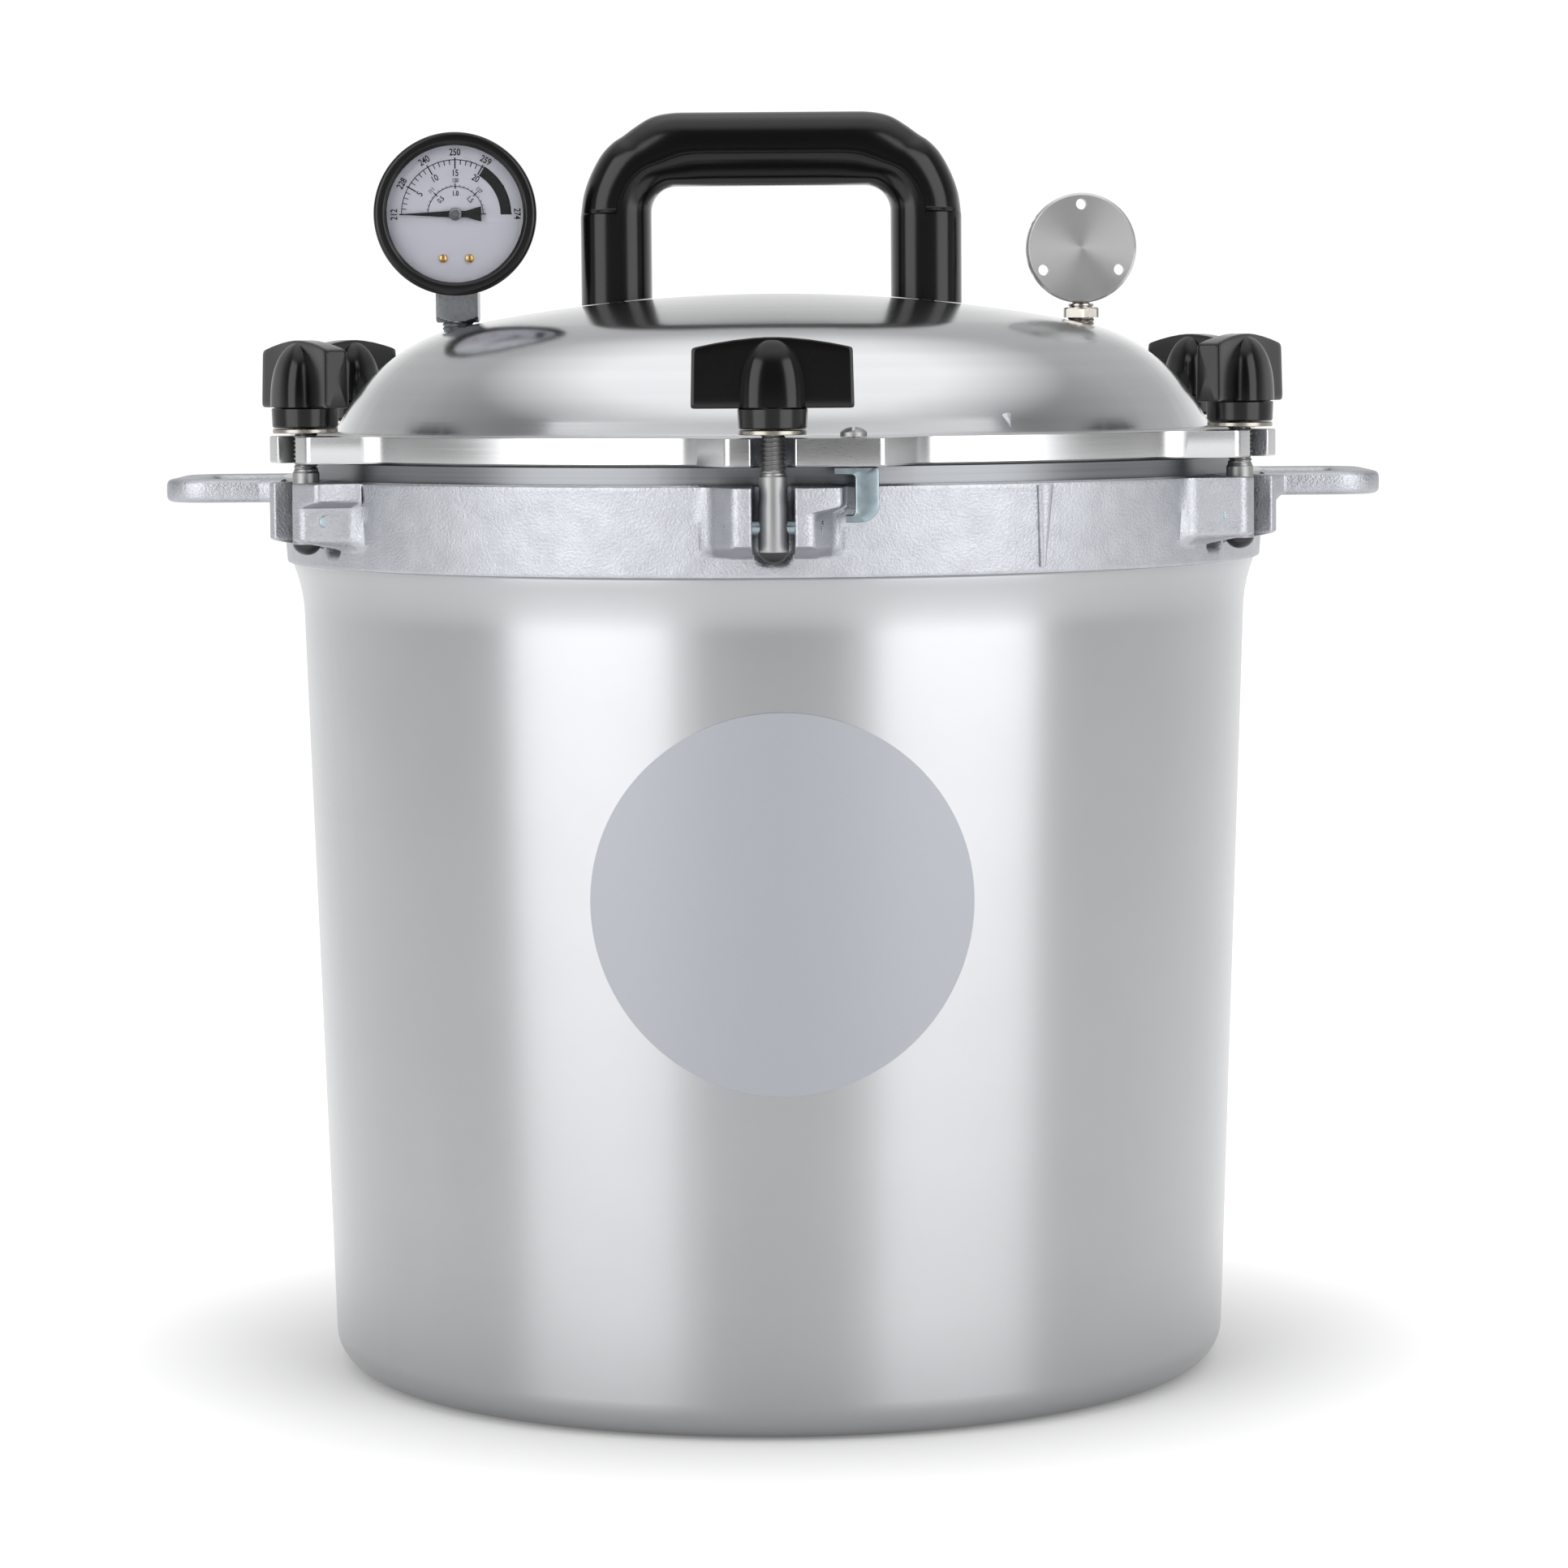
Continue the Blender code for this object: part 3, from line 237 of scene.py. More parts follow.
def blend_colours(tree, factor, one, two):
    """Colour one where the factor is 0, colour two where it is 1."""
    mix = add_node(tree, "ShaderNodeMix", {"Factor": factor}, data_type="RGBA")
    for socket, code in ((mix.inputs[6], one), (mix.inputs[7], two)):
        socket.default_value = srgb(code)
    return mix.outputs[2]


def ranged(tree, value, low, high, start=0.0, end=1.0):
    """Map a value from start..end to low..high."""
    node = add_node(tree, "ShaderNodeMapRange", {"Value": value, "From Min": start, "From Max": end,
                                                 "To Min": low, "To Max": high})
    return node.outputs["Result"]


def noise(tree, place, per_mm, detail=3.0, stretch=(1, 1, 1)):
    """Fractal noise with so many features per millimetre, stretched along the axes."""
    mapped = add_node(tree, "ShaderNodeMapping", {"Vector": place, "Scale": stretch})
    node = add_node(tree, "ShaderNodeTexNoise", {"Vector": mapped.outputs["Vector"], "Scale": per_mm,
                                                 "Detail": detail})
    return node.outputs["Fac"]


def turned_marks(tree, place, per_mm):
    """Fine turning marks round Z: noise read by height and radius alone, with a slow drift in angle."""
    parts = add_node(tree, "ShaderNodeSeparateXYZ", {"Vector": place})
    flat = add_node(tree, "ShaderNodeCombineXYZ", {"X": parts.outputs["X"], "Y": parts.outputs["Y"]})
    radius = add_node(tree, "ShaderNodeVectorMath", {0: flat.outputs["Vector"]}, operation="LENGTH")
    lines = add_node(tree, "ShaderNodeCombineXYZ", {"X": radius.outputs["Value"],
                                                    "Y": parts.outputs["Z"]})
    drift = add_node(tree, "ShaderNodeVectorMath", {0: place, "Scale": 0.004}, operation="SCALE")
    summed = add_node(tree, "ShaderNodeVectorMath", {0: lines.outputs["Vector"],
                                                     1: drift.outputs["Vector"]}, operation="ADD")
    return noise(tree, summed.outputs["Vector"], per_mm, 2.0)


def bumped(tree, height, depth_mm):
    """Bump normal for a height field of that many millimetres from low to high."""
    node = add_node(tree, "ShaderNodeBump", {"Height": height, "Strength": 1.0,
                                             "Distance": depth_mm * MM})
    return node.outputs["Normal"]


def along_turning(tree, place):
    """Direction of turning round Z, for metal whose highlights stretch across its rings."""
    return add_node(tree, "ShaderNodeVectorMath", {0: place, 1: (0.0, 0.0, 1.0)},
                    operation="CROSS_PRODUCT").outputs["Vector"]


def brushed_aluminium():
    """Aluminium turned and brushed round the wall: fine rings stretch highlights up and down."""
    material, tree, place = new_material("brushed_aluminium_wall")
    marks = turned_marks(tree, place, 2.2)
    patches = noise(tree, place, 0.02, 4.0)
    return close_material(material, tree, {
        "Base Color": blend_colours(tree, patches, "A1A2A4", "A9AAAC"), "Metallic": 1.0,
        "Roughness": ranged(tree, marks, 0.3, 0.34), "Normal": bumped(tree, marks, 0.0008),
        "Anisotropic": 0.8, "Anisotropic Rotation": 0.25, "Tangent": along_turning(tree, place)})


def cast_aluminium():
    """Sand-cast aluminium skin: dull and bluish, grains about 0.5 mm with pits and soft lumps."""
    material, tree, place = new_material("sand_cast_aluminium")
    grain = noise(tree, place, 1.3, 5.0)
    lumps = noise(tree, place, 0.12, 4.0)
    both = add_node(tree, "ShaderNodeMath", {0: grain, 1: lumps}, operation="ADD")
    return close_material(material, tree, {
        "Base Color": blend_colours(tree, ranged(tree, lumps, 0.0, 1.0, 0.3, 0.7), "A1A3A8", "ABADB2"),
        "Metallic": 1.0, "Roughness": ranged(tree, grain, 0.38, 0.5, 0.3, 0.7),
        "Normal": bumped(tree, both.outputs["Value"], 0.22)})


def machined_aluminium():
    """Bright machined aluminium faces with tool marks about 0.2 mm apart."""
    material, tree, place = new_material("machined_aluminium")
    marks = turned_marks(tree, place, 4.0)
    return close_material(material, tree, {
        "Base Color": blend_colours(tree, marks, "B2B3B4", "C2C2C3"), "Metallic": 1.0,
        "Roughness": ranged(tree, marks, 0.24, 0.34), "Normal": bumped(tree, marks, 0.003)})


BRUSHED = brushed_aluminium()
CAST = cast_aluminium()
MACHINED = machined_aluminium()


def pot_lug_paths():
    """Plan paths round one lug at its foot and at its top, where a ledge reaches out on one side."""
    left = [on_circle(COLLAR_RADIUS, -26 * MM), on_circle(COLLAR_RADIUS, -20 * MM),
            (EAR_RADIUS - 0.6 * MM, -12.6 * MM), (EAR_RADIUS, -SLOT_HALF)]
    floor = 164.6 * MM
    slot = [(floor, -SLOT_HALF), (floor, SLOT_HALF), (EAR_RADIUS, SLOT_HALF)]
    low = [(EAR_RADIUS - 0.6 * MM, 12.6 * MM), on_circle(COLLAR_RADIUS, 19 * MM),
           on_circle(COLLAR_RADIUS, 26 * MM)]
    high = [(EAR_RADIUS - 2 * MM, 21.6 * MM), on_circle(COLLAR_RADIUS, 22.6 * MM),
            on_circle(COLLAR_RADIUS, 26 * MM)]
    radii = [6 * MM, 3.5 * MM, 0.9 * MM, 3 * MM, 3 * MM, 0.9 * MM]
    return (rounded(left + slot + low, radii + [3.5 * MM, 5 * MM]),
            rounded(left + slot + high, radii + [2.5 * MM, 1.5 * MM]))


def pot_grid():
    """Rows run from the floor's centre up the inside, over the rim, down the collar and the wall to
    the centre of the base. On the collar a point is the collar circle's point plus w times the way
    to the lug outline, where w falls smoothly from 1 to 0 at each lug's foot."""
    low_path, high_path = pot_lug_paths()
    spread = np.linspace(-26 * MM, 26 * MM, len(low_path))
    side = 0.88 * low_path[:, 1] + 0.12 * spread
    base = np.stack([np.sqrt(COLLAR_RADIUS ** 2 - side ** 2), side], 1)
    ends = (-26 * MM, 26 * MM)
    low, high, collar = (sixth(path, COLLAR_RADIUS, ends, 10) for path in (low_path, high_path, base))
    distance = np.hypot(low[:, 0], low[:, 1])
    pocket = distance < COLLAR_RADIUS - 2 * MM
    across = np.clip(np.abs(low[:, 1]) / SLOT_HALF, 0, 1)
    foot = np.where(pocket, 284.5 * MM - 5 * MM * np.sqrt(1 - across ** 2), 283.5 * MM)

    def around(path):
        return np.concatenate([turn_to(path, azimuth) for azimuth in CLAMP_AZIMUTHS])

    circle = around(collar)
    angle = np.arctan2(circle[:, 1], circle[:, 0])
    unit = np.stack([np.cos(angle), np.sin(angle)], 1)

    def ring(radius, height):
        return np.column_stack([unit * radius, np.full(len(unit), height)])

    inner_foot = WALL_FOOT_RADIUS - WALL
    mouth = WALL_TOP_RADIUS - WALL
    seat = mouth + SEAT_DEPTH
    inside = rounded([(0, FLOOR), (inner_foot, FLOOR), (mouth, POT_TOP - SEAT_DEPTH),
                      (seat, POT_TOP - 0.2 * MM), (seat + 0.2 * MM, POT_TOP)],
                     [6 * MM, 0.4 * MM, 0.15 * MM])
    rows = [ring(r, z) for r, z in inside]
    marks = [2] * (len(rows) - 1)
    outline = around(high)
    reach = np.hypot(outline[:, 0], outline[:, 1])
    rim = np.minimum(COLLAR_RADIUS - 0.9 * MM, reach - 0.3 * MM)[:, None]
    rows.append(np.column_stack([unit * rim, np.full(len(unit), POT_TOP)]))
    marks.append(2)
    cast_top = POT_TOP - 0.4 * MM
    for inset, drop in ((0.5, 0.0), (0.12, 0.2), (0.0, 0.6)):
        grown = outline * (1 - inset * MM / reach)[:, None]
        rows.append(np.column_stack([grown, np.full(len(unit), cast_top - drop * MM)]))
        marks.append(1)
    heights = np.concatenate([np.linspace(304, 301, 3), np.linspace(300.2, 297, 6),
                              np.linspace(295.5, 288.5, 5), np.linspace(287.6, 277.6, 18)]) * MM
    foot_all = np.tile(foot, len(CLAMP_AZIMUTHS))
    low_all, high_all = around(low), around(high)
    for height in heights:
        taper = COLLAR_RADIUS - 2 * MM * (POT_TOP - height) / (POT_TOP - COLLAR_FOOT)
        step = smooth(297.4 * MM, 300 * MM, height)
        target = low_all * (1 - step) + high_all * step
        far = np.hypot(target[:, 0], target[:, 1])
        plain = np.abs(far - COLLAR_RADIUS) < 0.05 * MM
        weight = smooth(foot_all - 0.5 * MM, foot_all + 4 * MM, height)[:, None]
        weight = np.where(plain[:, None], 0.0, weight)
        start = unit * taper
        rows.append(np.column_stack([start + (target - start) * weight, np.full(len(unit), height)]))
        marks.append(1)
    flare_height = np.linspace(275.5, 258, 9) * MM
    flare = WALL_TOP_RADIUS + 3.3 * MM * ((flare_height - FLARE_FOOT) / (17.5 * MM)) ** 2
    step_down = [(166.3 * MM, 277.1 * MM), (165.7 * MM, 276.8 * MM), (164.8 * MM, 276.7 * MM),
                 (164.4 * MM, 276.3 * MM)]
    rows += [ring(r, z) for r, z in step_down]
    marks += [1, 1, 1, 0]
    rows += [ring(r, z) for r, z in zip(flare, flare_height)]
    marks += [0] * len(flare)
    wall = np.linspace(FLARE_FOOT, BASE_CORNER, 10)[1:]
    rows += [ring(r, z) for r, z in zip(wall_radius(wall), wall)]
    marks += [0] * len(wall)
    corner = np.linspace(0, math.pi / 2, 10)[1:]
    base_flat = WALL_FOOT_RADIUS - BASE_CORNER
    rows += [ring(base_flat + BASE_CORNER * math.cos(a), BASE_CORNER - BASE_CORNER * math.sin(a))
             for a in corner]
    marks += [0] * len(corner)
    rows.append(ring(0, 0))
    marks.append(0)
    return np.stack(rows), np.array(marks)


pot_points, pot_marks = pot_grid()
piece("pot_casting", [pot_points], "pot", [BRUSHED, CAST, MACHINED], ["pot_body"],
      pot_marks)


# ---------------------------------------------------------------------------------------------
# Side loops and index rib. Cast in one with the collar: a flat bar with rounded edges bent round
# the finger gap on each side, and a short wedge on the collar that marks where the lid lines up.

LOOP_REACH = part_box("pot_body")[1].x
LOOP_BAR = 12 * MM
LOOP_THICKNESS = 8 * MM


def loop_grid(azimuth):
    """A rounded bar section carried along a U in plan, from inside the collar out and back."""
    half = 38 * MM - LOOP_BAR / 2
    tip = LOOP_REACH - LOOP_BAR / 2
    root = 163 * MM
    path = rounded([(root, -half - 4 * MM), (COLLAR_RADIUS + 3 * MM, -half), (tip, -half),
                    (tip, half), (COLLAR_RADIUS + 3 * MM, half), (root, half + 4 * MM)],
                   [6 * MM, 10 * MM, 10 * MM, 6 * MM], 9)
    along = np.gradient(path, axis=0)
    along /= np.linalg.norm(along, axis=1)[:, None]
    normal = np.stack([along[:, 1], -along[:, 0]], 1)
    turn = np.linspace(0, 2 * math.pi, 28, endpoint=False)
    power = 0.45
    across = np.sign(np.cos(turn)) * np.abs(np.cos(turn)) ** power * LOOP_BAR / 2
    up = np.sign(np.sin(turn)) * np.abs(np.sin(turn)) ** power * LOOP_THICKNESS / 2
    plan = path[:, None, :] + normal[:, None, :] * across[None, :, None]
    plan = turn_to(plan.reshape(-1, 2), azimuth).reshape(plan.shape)
    height = np.broadcast_to(POT_TOP - 0.4 * MM - LOOP_THICKNESS / 2 + up, plan.shape[:2])
    grid = np.concatenate([plan, height[..., None]], -1)
    return capped(grid)


def capped(grid):
    """Close both ends of a tube grid with a pole at the middle of its end row."""
    ends = [np.broadcast_to(row.mean(0), row.shape)[None] for row in (grid[0], grid[-1])]
    return np.concatenate([ends[0], grid, ends[1]])


def rib_grid():
    """A wedge, wide at the rim and thin at the collar's foot, with a rounded back."""
    share = np.linspace(0, 1, 12)[:, None]
    turn = np.linspace(-math.pi, math.pi, 24, endpoint=False)[None, :]
    height = COLLAR_FOOT + 1.5 * MM + share * 26 * MM
    half = (0.9 + 2.0 * share) * MM
    out = COLLAR_RADIUS - (1 - share) * 2 * MM + (0.3 + 1.5 * np.cos(turn)) * MM
    across = half * np.sin(turn)
    plan = np.stack(np.broadcast_arrays(out, across), -1)
    plan = turn_to(plan.reshape(-1, 2), 300.6).reshape(plan.shape)
    return capped(np.concatenate([plan, np.broadcast_to(height, plan.shape[:2])[..., None]], -1))


for side, azimuth in (("right", 0), ("left", 180)):
    piece("side_loop_" + side, [loop_grid(azimuth)], "pot", [CAST])
piece("index_rib", [rib_grid()], "pot", [CAST])


# ---------------------------------------------------------------------------------------------
# Lid casting. Cast aluminium, spun bright on the dome, with a machined flange, six slotted lugs
# and the cone that seals on the pot's seat. The front lug is long on one side for the lock hook.

FLANGE_LOW = POT_TOP + 6 * MM
FLANGE_HIGH = FLANGE_LOW + 8.8 * MM
FLANGE_RADIUS = COLLAR_RADIUS - 3.5 * MM
LID_LUG_RADIUS = CLAMP_RADIUS + 7 * MM
CROWN = 540 * MM
SHOULDER = 61 * MM
SHOULDER_DROP = 24.3 * MM
DOME_WALL = 5 * MM
SHOULDER_HEIGHT = FLANGE_HIGH - SHOULDER_DROP
SHOULDER_CENTRE = FLANGE_RADIUS - 15.5 * MM - math.sqrt(SHOULDER ** 2 - SHOULDER_DROP ** 2)
CROWN_CENTRE = SHOULDER_HEIGHT - math.sqrt((CROWN - SHOULDER) ** 2 - SHOULDER_CENTRE ** 2)
CROWN_TURN = math.asin(SHOULDER_CENTRE / (CROWN - SHOULDER))


def dome_height(radius, depth=0.0):
    """Height of the dome's skin: a wide crown arc that runs tangent into a tight shoulder arc."""
    if radius <= (CROWN - depth) * math.sin(CROWN_TURN):
        return CROWN_CENTRE + math.sqrt((CROWN - depth) ** 2 - radius ** 2)
    return SHOULDER_HEIGHT + math.sqrt((SHOULDER - depth) ** 2 - (radius - SHOULDER_CENTRE) ** 2)


def dome_profile(depth, low_angle):
    """The dome's section from its centre to the shoulder's foot, as two arcs."""
    crown = np.linspace(0, CROWN_TURN, 12)[:-1]
    shoulder = np.linspace(CROWN_TURN, math.pi / 2 - low_angle, 18)
    return np.concatenate([
        np.stack([(CROWN - depth) * np.sin(crown), CROWN_CENTRE + (CROWN - depth) * np.cos(crown)], 1),
        np.stack([SHOULDER_CENTRE + (SHOULDER - depth) * np.sin(shoulder),
                  SHOULDER_HEIGHT + (SHOULDER - depth) * np.cos(shoulder)], 1)])


def lid_lug_path(reach):
    """Plan path round one lug; reach is how far it goes beside the bolt on the hook's side."""
    half = 6.75 * MM
    left = [on_circle(FLANGE_RADIUS, -40 * MM), on_circle(FLANGE_RADIUS, -27 * MM),
            (LID_LUG_RADIUS - 0.5 * MM, -14.6 * MM), (LID_LUG_RADIUS, -half)]
    slot = [(CLAMP_RADIUS - half, -half), (CLAMP_RADIUS - half, half), (LID_LUG_RADIUS, half)]
    right = [(LID_LUG_RADIUS - 0.5 * MM, reach + 0.6 * MM), on_circle(FLANGE_RADIUS, reach + 13 * MM),
             on_circle(FLANGE_RADIUS, reach + 26 * MM)]
    radii = [16 * MM, 3 * MM, 0.7 * MM, 6.4 * MM, 6.4 * MM, 0.7 * MM, 3 * MM, 14 * MM]
    return rounded(left + slot + right, radii, 10)


def lid_grid():
    """Rows run from the dome's centre out over the flange, down its edge and back up the inside.
    The flange's edge follows the lugs' outline, and every other row is a circle. Faces in the slots
    are marked as cast, and the flange's underside and seat cone take a dark metal as painted shade."""
    paths, in_slot = [], []
    for azimuth in CLAMP_AZIMUTHS:
        reach = 34 * MM if azimuth == 270 else 14 * MM
        path = sixth(lid_lug_path(reach), FLANGE_RADIUS, (-40 * MM, reach + 26 * MM), 10)
        in_slot.append((np.abs(path[:, 1]) < 6.76 * MM) & (path[:, 0] < LID_LUG_RADIUS - 0.9 * MM))
        paths.append(turn_to(path, azimuth))
    outline, in_slot = np.concatenate(paths), np.concatenate(in_slot)
    reach = np.hypot(outline[:, 0], outline[:, 1])
    step = np.linspace(0, 2 * math.pi, len(outline), endpoint=False)
    angle = np.unwrap(np.arctan2(outline[:, 1], outline[:, 0]))
    angle = 0.9 * angle + 0.1 * (angle[0] + step)
    unit = np.stack([np.cos(angle), np.sin(angle)], 1)

    def ring(radius, height):
        return np.column_stack([unit * radius, np.full(len(unit), height)])

    def edge(inset, height):
        return np.column_stack([outline * (1 - inset / reach)[:, None], np.full(len(unit), height)])

    edge_angle = math.asin(SHOULDER_DROP / SHOULDER)
    dome = dome_profile(0, edge_angle + 0.02)
    foot = dome[-1][0]
    rows = [ring(r, z) for r, z in dome]
    rows += [ring(foot + 0.5 * MM, FLANGE_HIGH + 0.25 * MM), ring(foot + 1.4 * MM, FLANGE_HIGH)]
    polished = len(rows) - 1
    rows += [edge(0.6 * MM, FLANGE_HIGH), edge(0.15 * MM, FLANGE_HIGH - 0.15 * MM),
             edge(0, FLANGE_HIGH - 0.6 * MM), edge(0, FLANGE_LOW + 0.5 * MM),
             edge(0.5 * MM, FLANGE_LOW)]
    cone = WALL_TOP_RADIUS - WALL + SEAT_DEPTH - 0.42 * MM
    skirt = POT_TOP - 10.5 * MM
    inner = dome_profile(DOME_WALL, 0)[::-1]
    below = [(cone + 0.6 * MM, FLANGE_LOW), (cone, FLANGE_LOW - 0.6 * MM), (cone, POT_TOP),
             (cone - 10.1 * MM, skirt + 0.4 * MM), (cone - 10.7 * MM, skirt),
             (inner[0][0] + 0.4 * MM, skirt), (inner[0][0], skirt + 0.4 * MM)]
    rows += [ring(r, z) for r, z in below] + [ring(r, z) for r, z in inner]
    marks = np.ones((len(rows) - 1, len(outline)), int)
    marks[:polished] = 0
    # Flange underside and seat cone: dark turned metal, painted shade for the gap between lid and pot.
    marks[polished + 5:polished + 8] = 3
    marks[polished + 2:polished + 4, in_slot] = 2
    return np.stack(rows), marks


def spun_aluminium():
    """Aluminium polished while it spins: near mirror, with fine rings that smear reflections."""
    material, tree, place = new_material("spun_polished_aluminium")
    marks = turned_marks(tree, place, 1.6)
    wide = turned_marks(tree, place, 0.18)
    return close_material(material, tree, {
        "Base Color": blend_colours(tree, wide, "B4B5B7", "C1C2C4"), "Metallic": 1.0,
        "Roughness": ranged(tree, marks, 0.13, 0.18), "Normal": bumped(tree, marks, 0.001),
        "Anisotropic": 0.6, "Anisotropic Rotation": 0.25, "Tangent": along_turning(tree, place)})


def shaded_seat_metal():
    """Turned seat under the flange, coloured dark as painted shade for the narrow gap over the pot."""
    material, tree, place = new_material("turned_seat_painted_shade")
    marks = turned_marks(tree, place, 1.2)
    return close_material(material, tree, {
        "Base Color": blend_colours(tree, marks, "66686A", "7E8083"), "Metallic": 1.0,
        "Roughness": ranged(tree, marks, 0.25, 0.35), "Normal": bumped(tree, marks, 0.003)})


SPUN = spun_aluminium()
lid_points, lid_marks = lid_grid()
piece("lid_casting", [lid_points], "lid", [SPUN, MACHINED, CAST, shaded_seat_metal()],
      ["lid"], lid_marks)


def set_at(grid, azimuth, radius=0.0, height=0.0, side=0.0):
    """A grid moved out along +X and up, then turned to an azimuth."""
    moved = grid + np.array([radius, side, height])
    plan = turn_to(moved[..., :2].reshape(-1, 2), azimuth).reshape(moved.shape[:-1] + (2,))
    return np.concatenate([plan, moved[..., 2:]], -1)


def arrow_grid():
    """Sections across the raised arrow from its broad end to its point: ellipses half sunk in the
    dome, whose half width falls evenly with the distance from the broad end."""
    turn = np.linspace(0, 2 * math.pi, 16, endpoint=False)
    rows = []
    for share in np.linspace(0, 1, 9):
        radius = (146.6 + 2 * share) * MM
        half = (2.0 * (1 - share) + 0.05) * MM
        rows.append(np.column_stack([np.full(16, radius), half * np.cos(turn),
                                     dome_height(radius) + 0.7 * MM * np.sin(turn)]))
    return capped(np.stack(rows))


piece("cast_arrow", [set_at(arrow_grid(), 300.7)], "lid", [CAST])


# ---------------------------------------------------------------------------------------------
# Top handle. Black phenolic moulded in one, glossy, with a mould line along its face; a screw
# from inside the lid holds each leg.

HANDLE_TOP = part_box("top_handle")[1].z - 0.02 * MM
HANDLE_GAP_HALF = 40.9 * MM
HANDLE_HALF = 65.1 * MM


def spline(points, between=8):
    """Smooth path through the points: cubic pieces whose slope at a point follows its neighbours."""
    points = np.asarray(points, float)
    slope = np.gradient(points, axis=0)
    t = np.linspace(0, 1, between, endpoint=False)[:, None]
    pieces = []
    for a, b, start, end in zip(points, points[1:], slope, slope[1:]):
        pieces.append(a * (2 * t ** 3 - 3 * t ** 2 + 1) + start * (t ** 3 - 2 * t ** 2 + t)
                      + b * (3 * t ** 2 - 2 * t ** 3) + end * (t ** 3 - t ** 2))
    return np.concatenate(pieces + [points[-1:]])


def handle_curves():
    """The gap's outline and the handle's outer outline, from the left foot to the right."""
    gap_top = HANDLE_TOP - 25.1 * MM
    inner_foot = dome_height(HANDLE_GAP_HALF) + GAP
    inner = rounded([(-HANDLE_GAP_HALF, inner_foot), (-HANDLE_GAP_HALF, gap_top),
                     (HANDLE_GAP_HALF, gap_top), (HANDLE_GAP_HALF, inner_foot)],
                    [8.7 * MM, 8.7 * MM], 40)
    fall = [(6, 0), (14, 0), (22, 0), (28, 0), (33, 0.1), (38, 0.8), (42, 2.2), (46.5, 5),
            (50.5, 7.9), (54, 10.2), (57.8, 14.2), (61.4, 20.6), (64, 27.8), (65.1, 35.5)]
    arch = spline([(side * x * MM, HANDLE_TOP - z * MM)
                   for side, ordered in ((-1, fall[::-1]), (1, fall)) for x, z in ordered])
    foot = dome_height(HANDLE_HALF) + GAP
    outer = np.concatenate([[(-HANDLE_HALF, foot)], arch, [(HANDLE_HALF, foot)]])
    return inner, outer


def even(path, count):
    """The same path with its points spaced evenly along it."""
    length = np.concatenate([[0], np.cumsum(np.linalg.norm(np.diff(path, axis=0), axis=1))])
    at = np.linspace(0, length[-1], count)
    return np.stack([np.interp(at, length, path[:, 0]), np.interp(at, length, path[:, 1])], 1)


def handle_grid():
    """Between the two outlines runs a full round section, a superellipse of exponent 2.5. Its outer
    lobe stands a little proud, and above the knee a fine mould groove parts the lobes."""
    inner, outer = handle_curves()
    knee = 394.2 * MM
    legs, arch = 30, 150

    def by_parts(path):
        path = insert_level(insert_level(path, knee), knee - 0.35 * MM)
        low = path[:, 1] < knee - 1e-7
        split = int(np.argmin(low))
        last = len(path) - 1 - int(np.argmin(low[::-1]))
        return np.concatenate([even(path[:split], legs), even(path[split:last + 1], arch),
                               even(path[last + 1:], legs)])

    inner, outer = by_parts(inner), by_parts(outer)
    share = (1 - np.cos(np.linspace(0, math.pi, 40))) / 2
    share = np.sort(np.concatenate([share, [0.425, 0.435, 0.464, 0.471, 0.487, 0.494]]))
    depth = 14 * MM * (1 - np.abs(2 * share - 1) ** 2.5) ** (1 / 2.5)
    depth = depth * (0.965 + 0.035 * smooth(0.425, 0.435, share))
    share = np.concatenate([share, share[-2:0:-1]])
    side = np.concatenate([-depth, depth[-2:0:-1]])
    plane = inner[:, None, :] + (outer - inner)[:, None, :] * share[None, :, None]
    above = outer[:, 1] >= knee - 1e-7
    groove = above[:, None] & (np.abs(share - 0.479) < 0.01)[None, :]
    line = (np.abs(outer[:, 1] - knee) < 0.05 * MM)[:, None] & (share > 0.48)[None, :]
    y = side[None, :] * np.where(groove | line, 0.955, 1.0)
    return capped(np.stack([plane[..., 0], y, plane[..., 1]], -1))


def insert_level(path, level):
    """The path with points added where it crosses a height."""
    points = [path[0]]
    for a, b in zip(path, path[1:]):
        if (a[1] - level) * (b[1] - level) < 0:
            points.append(a + (b - a) * (level - a[1]) / (b[1] - a[1]))
        points.append(b)
    return np.array(points)


def black_phenolic():
    """Compression-moulded phenolic: black, glossy, with a faint orange peel about 1.5 mm wide."""
    material, tree, place = new_material("black_moulded_phenolic")
    peel = noise(tree, place, 0.6, 2.0)
    dust = noise(tree, place, 3.0, 2.0)
    return close_material(material, tree, {
        "Base Color": blend_colours(tree, dust, "040405", "09090A"), "Specular IOR Level": 0.3,
        "Roughness": ranged(tree, dust, 0.16, 0.24), "Normal": bumped(tree, peel, 0.008)})


PHENOLIC = black_phenolic()
piece("arched_handle", [handle_grid()], "lid", [PHENOLIC], ["top_handle"], sharp=40)


# ---------------------------------------------------------------------------------------------
# Clamps. Six machined steel swing bolts on knurled zinc-plated pins, their noses coloured dark as
# painted shade, each with a bronze-faced washer and a black phenolic wing nut moulded round a brass
# bush.

THREAD_PITCH = 1.41 * MM
NUT_LOW = FLANGE_HIGH + 1 * MM
WING_LOW = NUT_LOW + 8.2 * MM
WING_TOP = WING_LOW + 22 * MM


def lathe(profile, steps=48):
    """Radius and height points turned about Z."""
    profile = np.asarray(profile, float)
    turn = np.linspace(0, 2 * math.pi, steps, endpoint=False)
    flat = np.ones(steps)
    return np.stack([np.outer(profile[:, 0], np.cos(turn)), np.outer(profile[:, 0], np.sin(turn)),
                     np.outer(profile[:, 1], flat)], -1)


def ring_profile(inner, outer, low, high, edge):
    """Closed section of a ring with chamfered edges."""
    return [(inner, low + edge), (inner + edge, low), (outer - edge, low), (outer, low + edge),
            (outer, high - edge), (outer - edge, high), (inner + edge, high), (inner, high - edge),
            (inner, low + edge)]


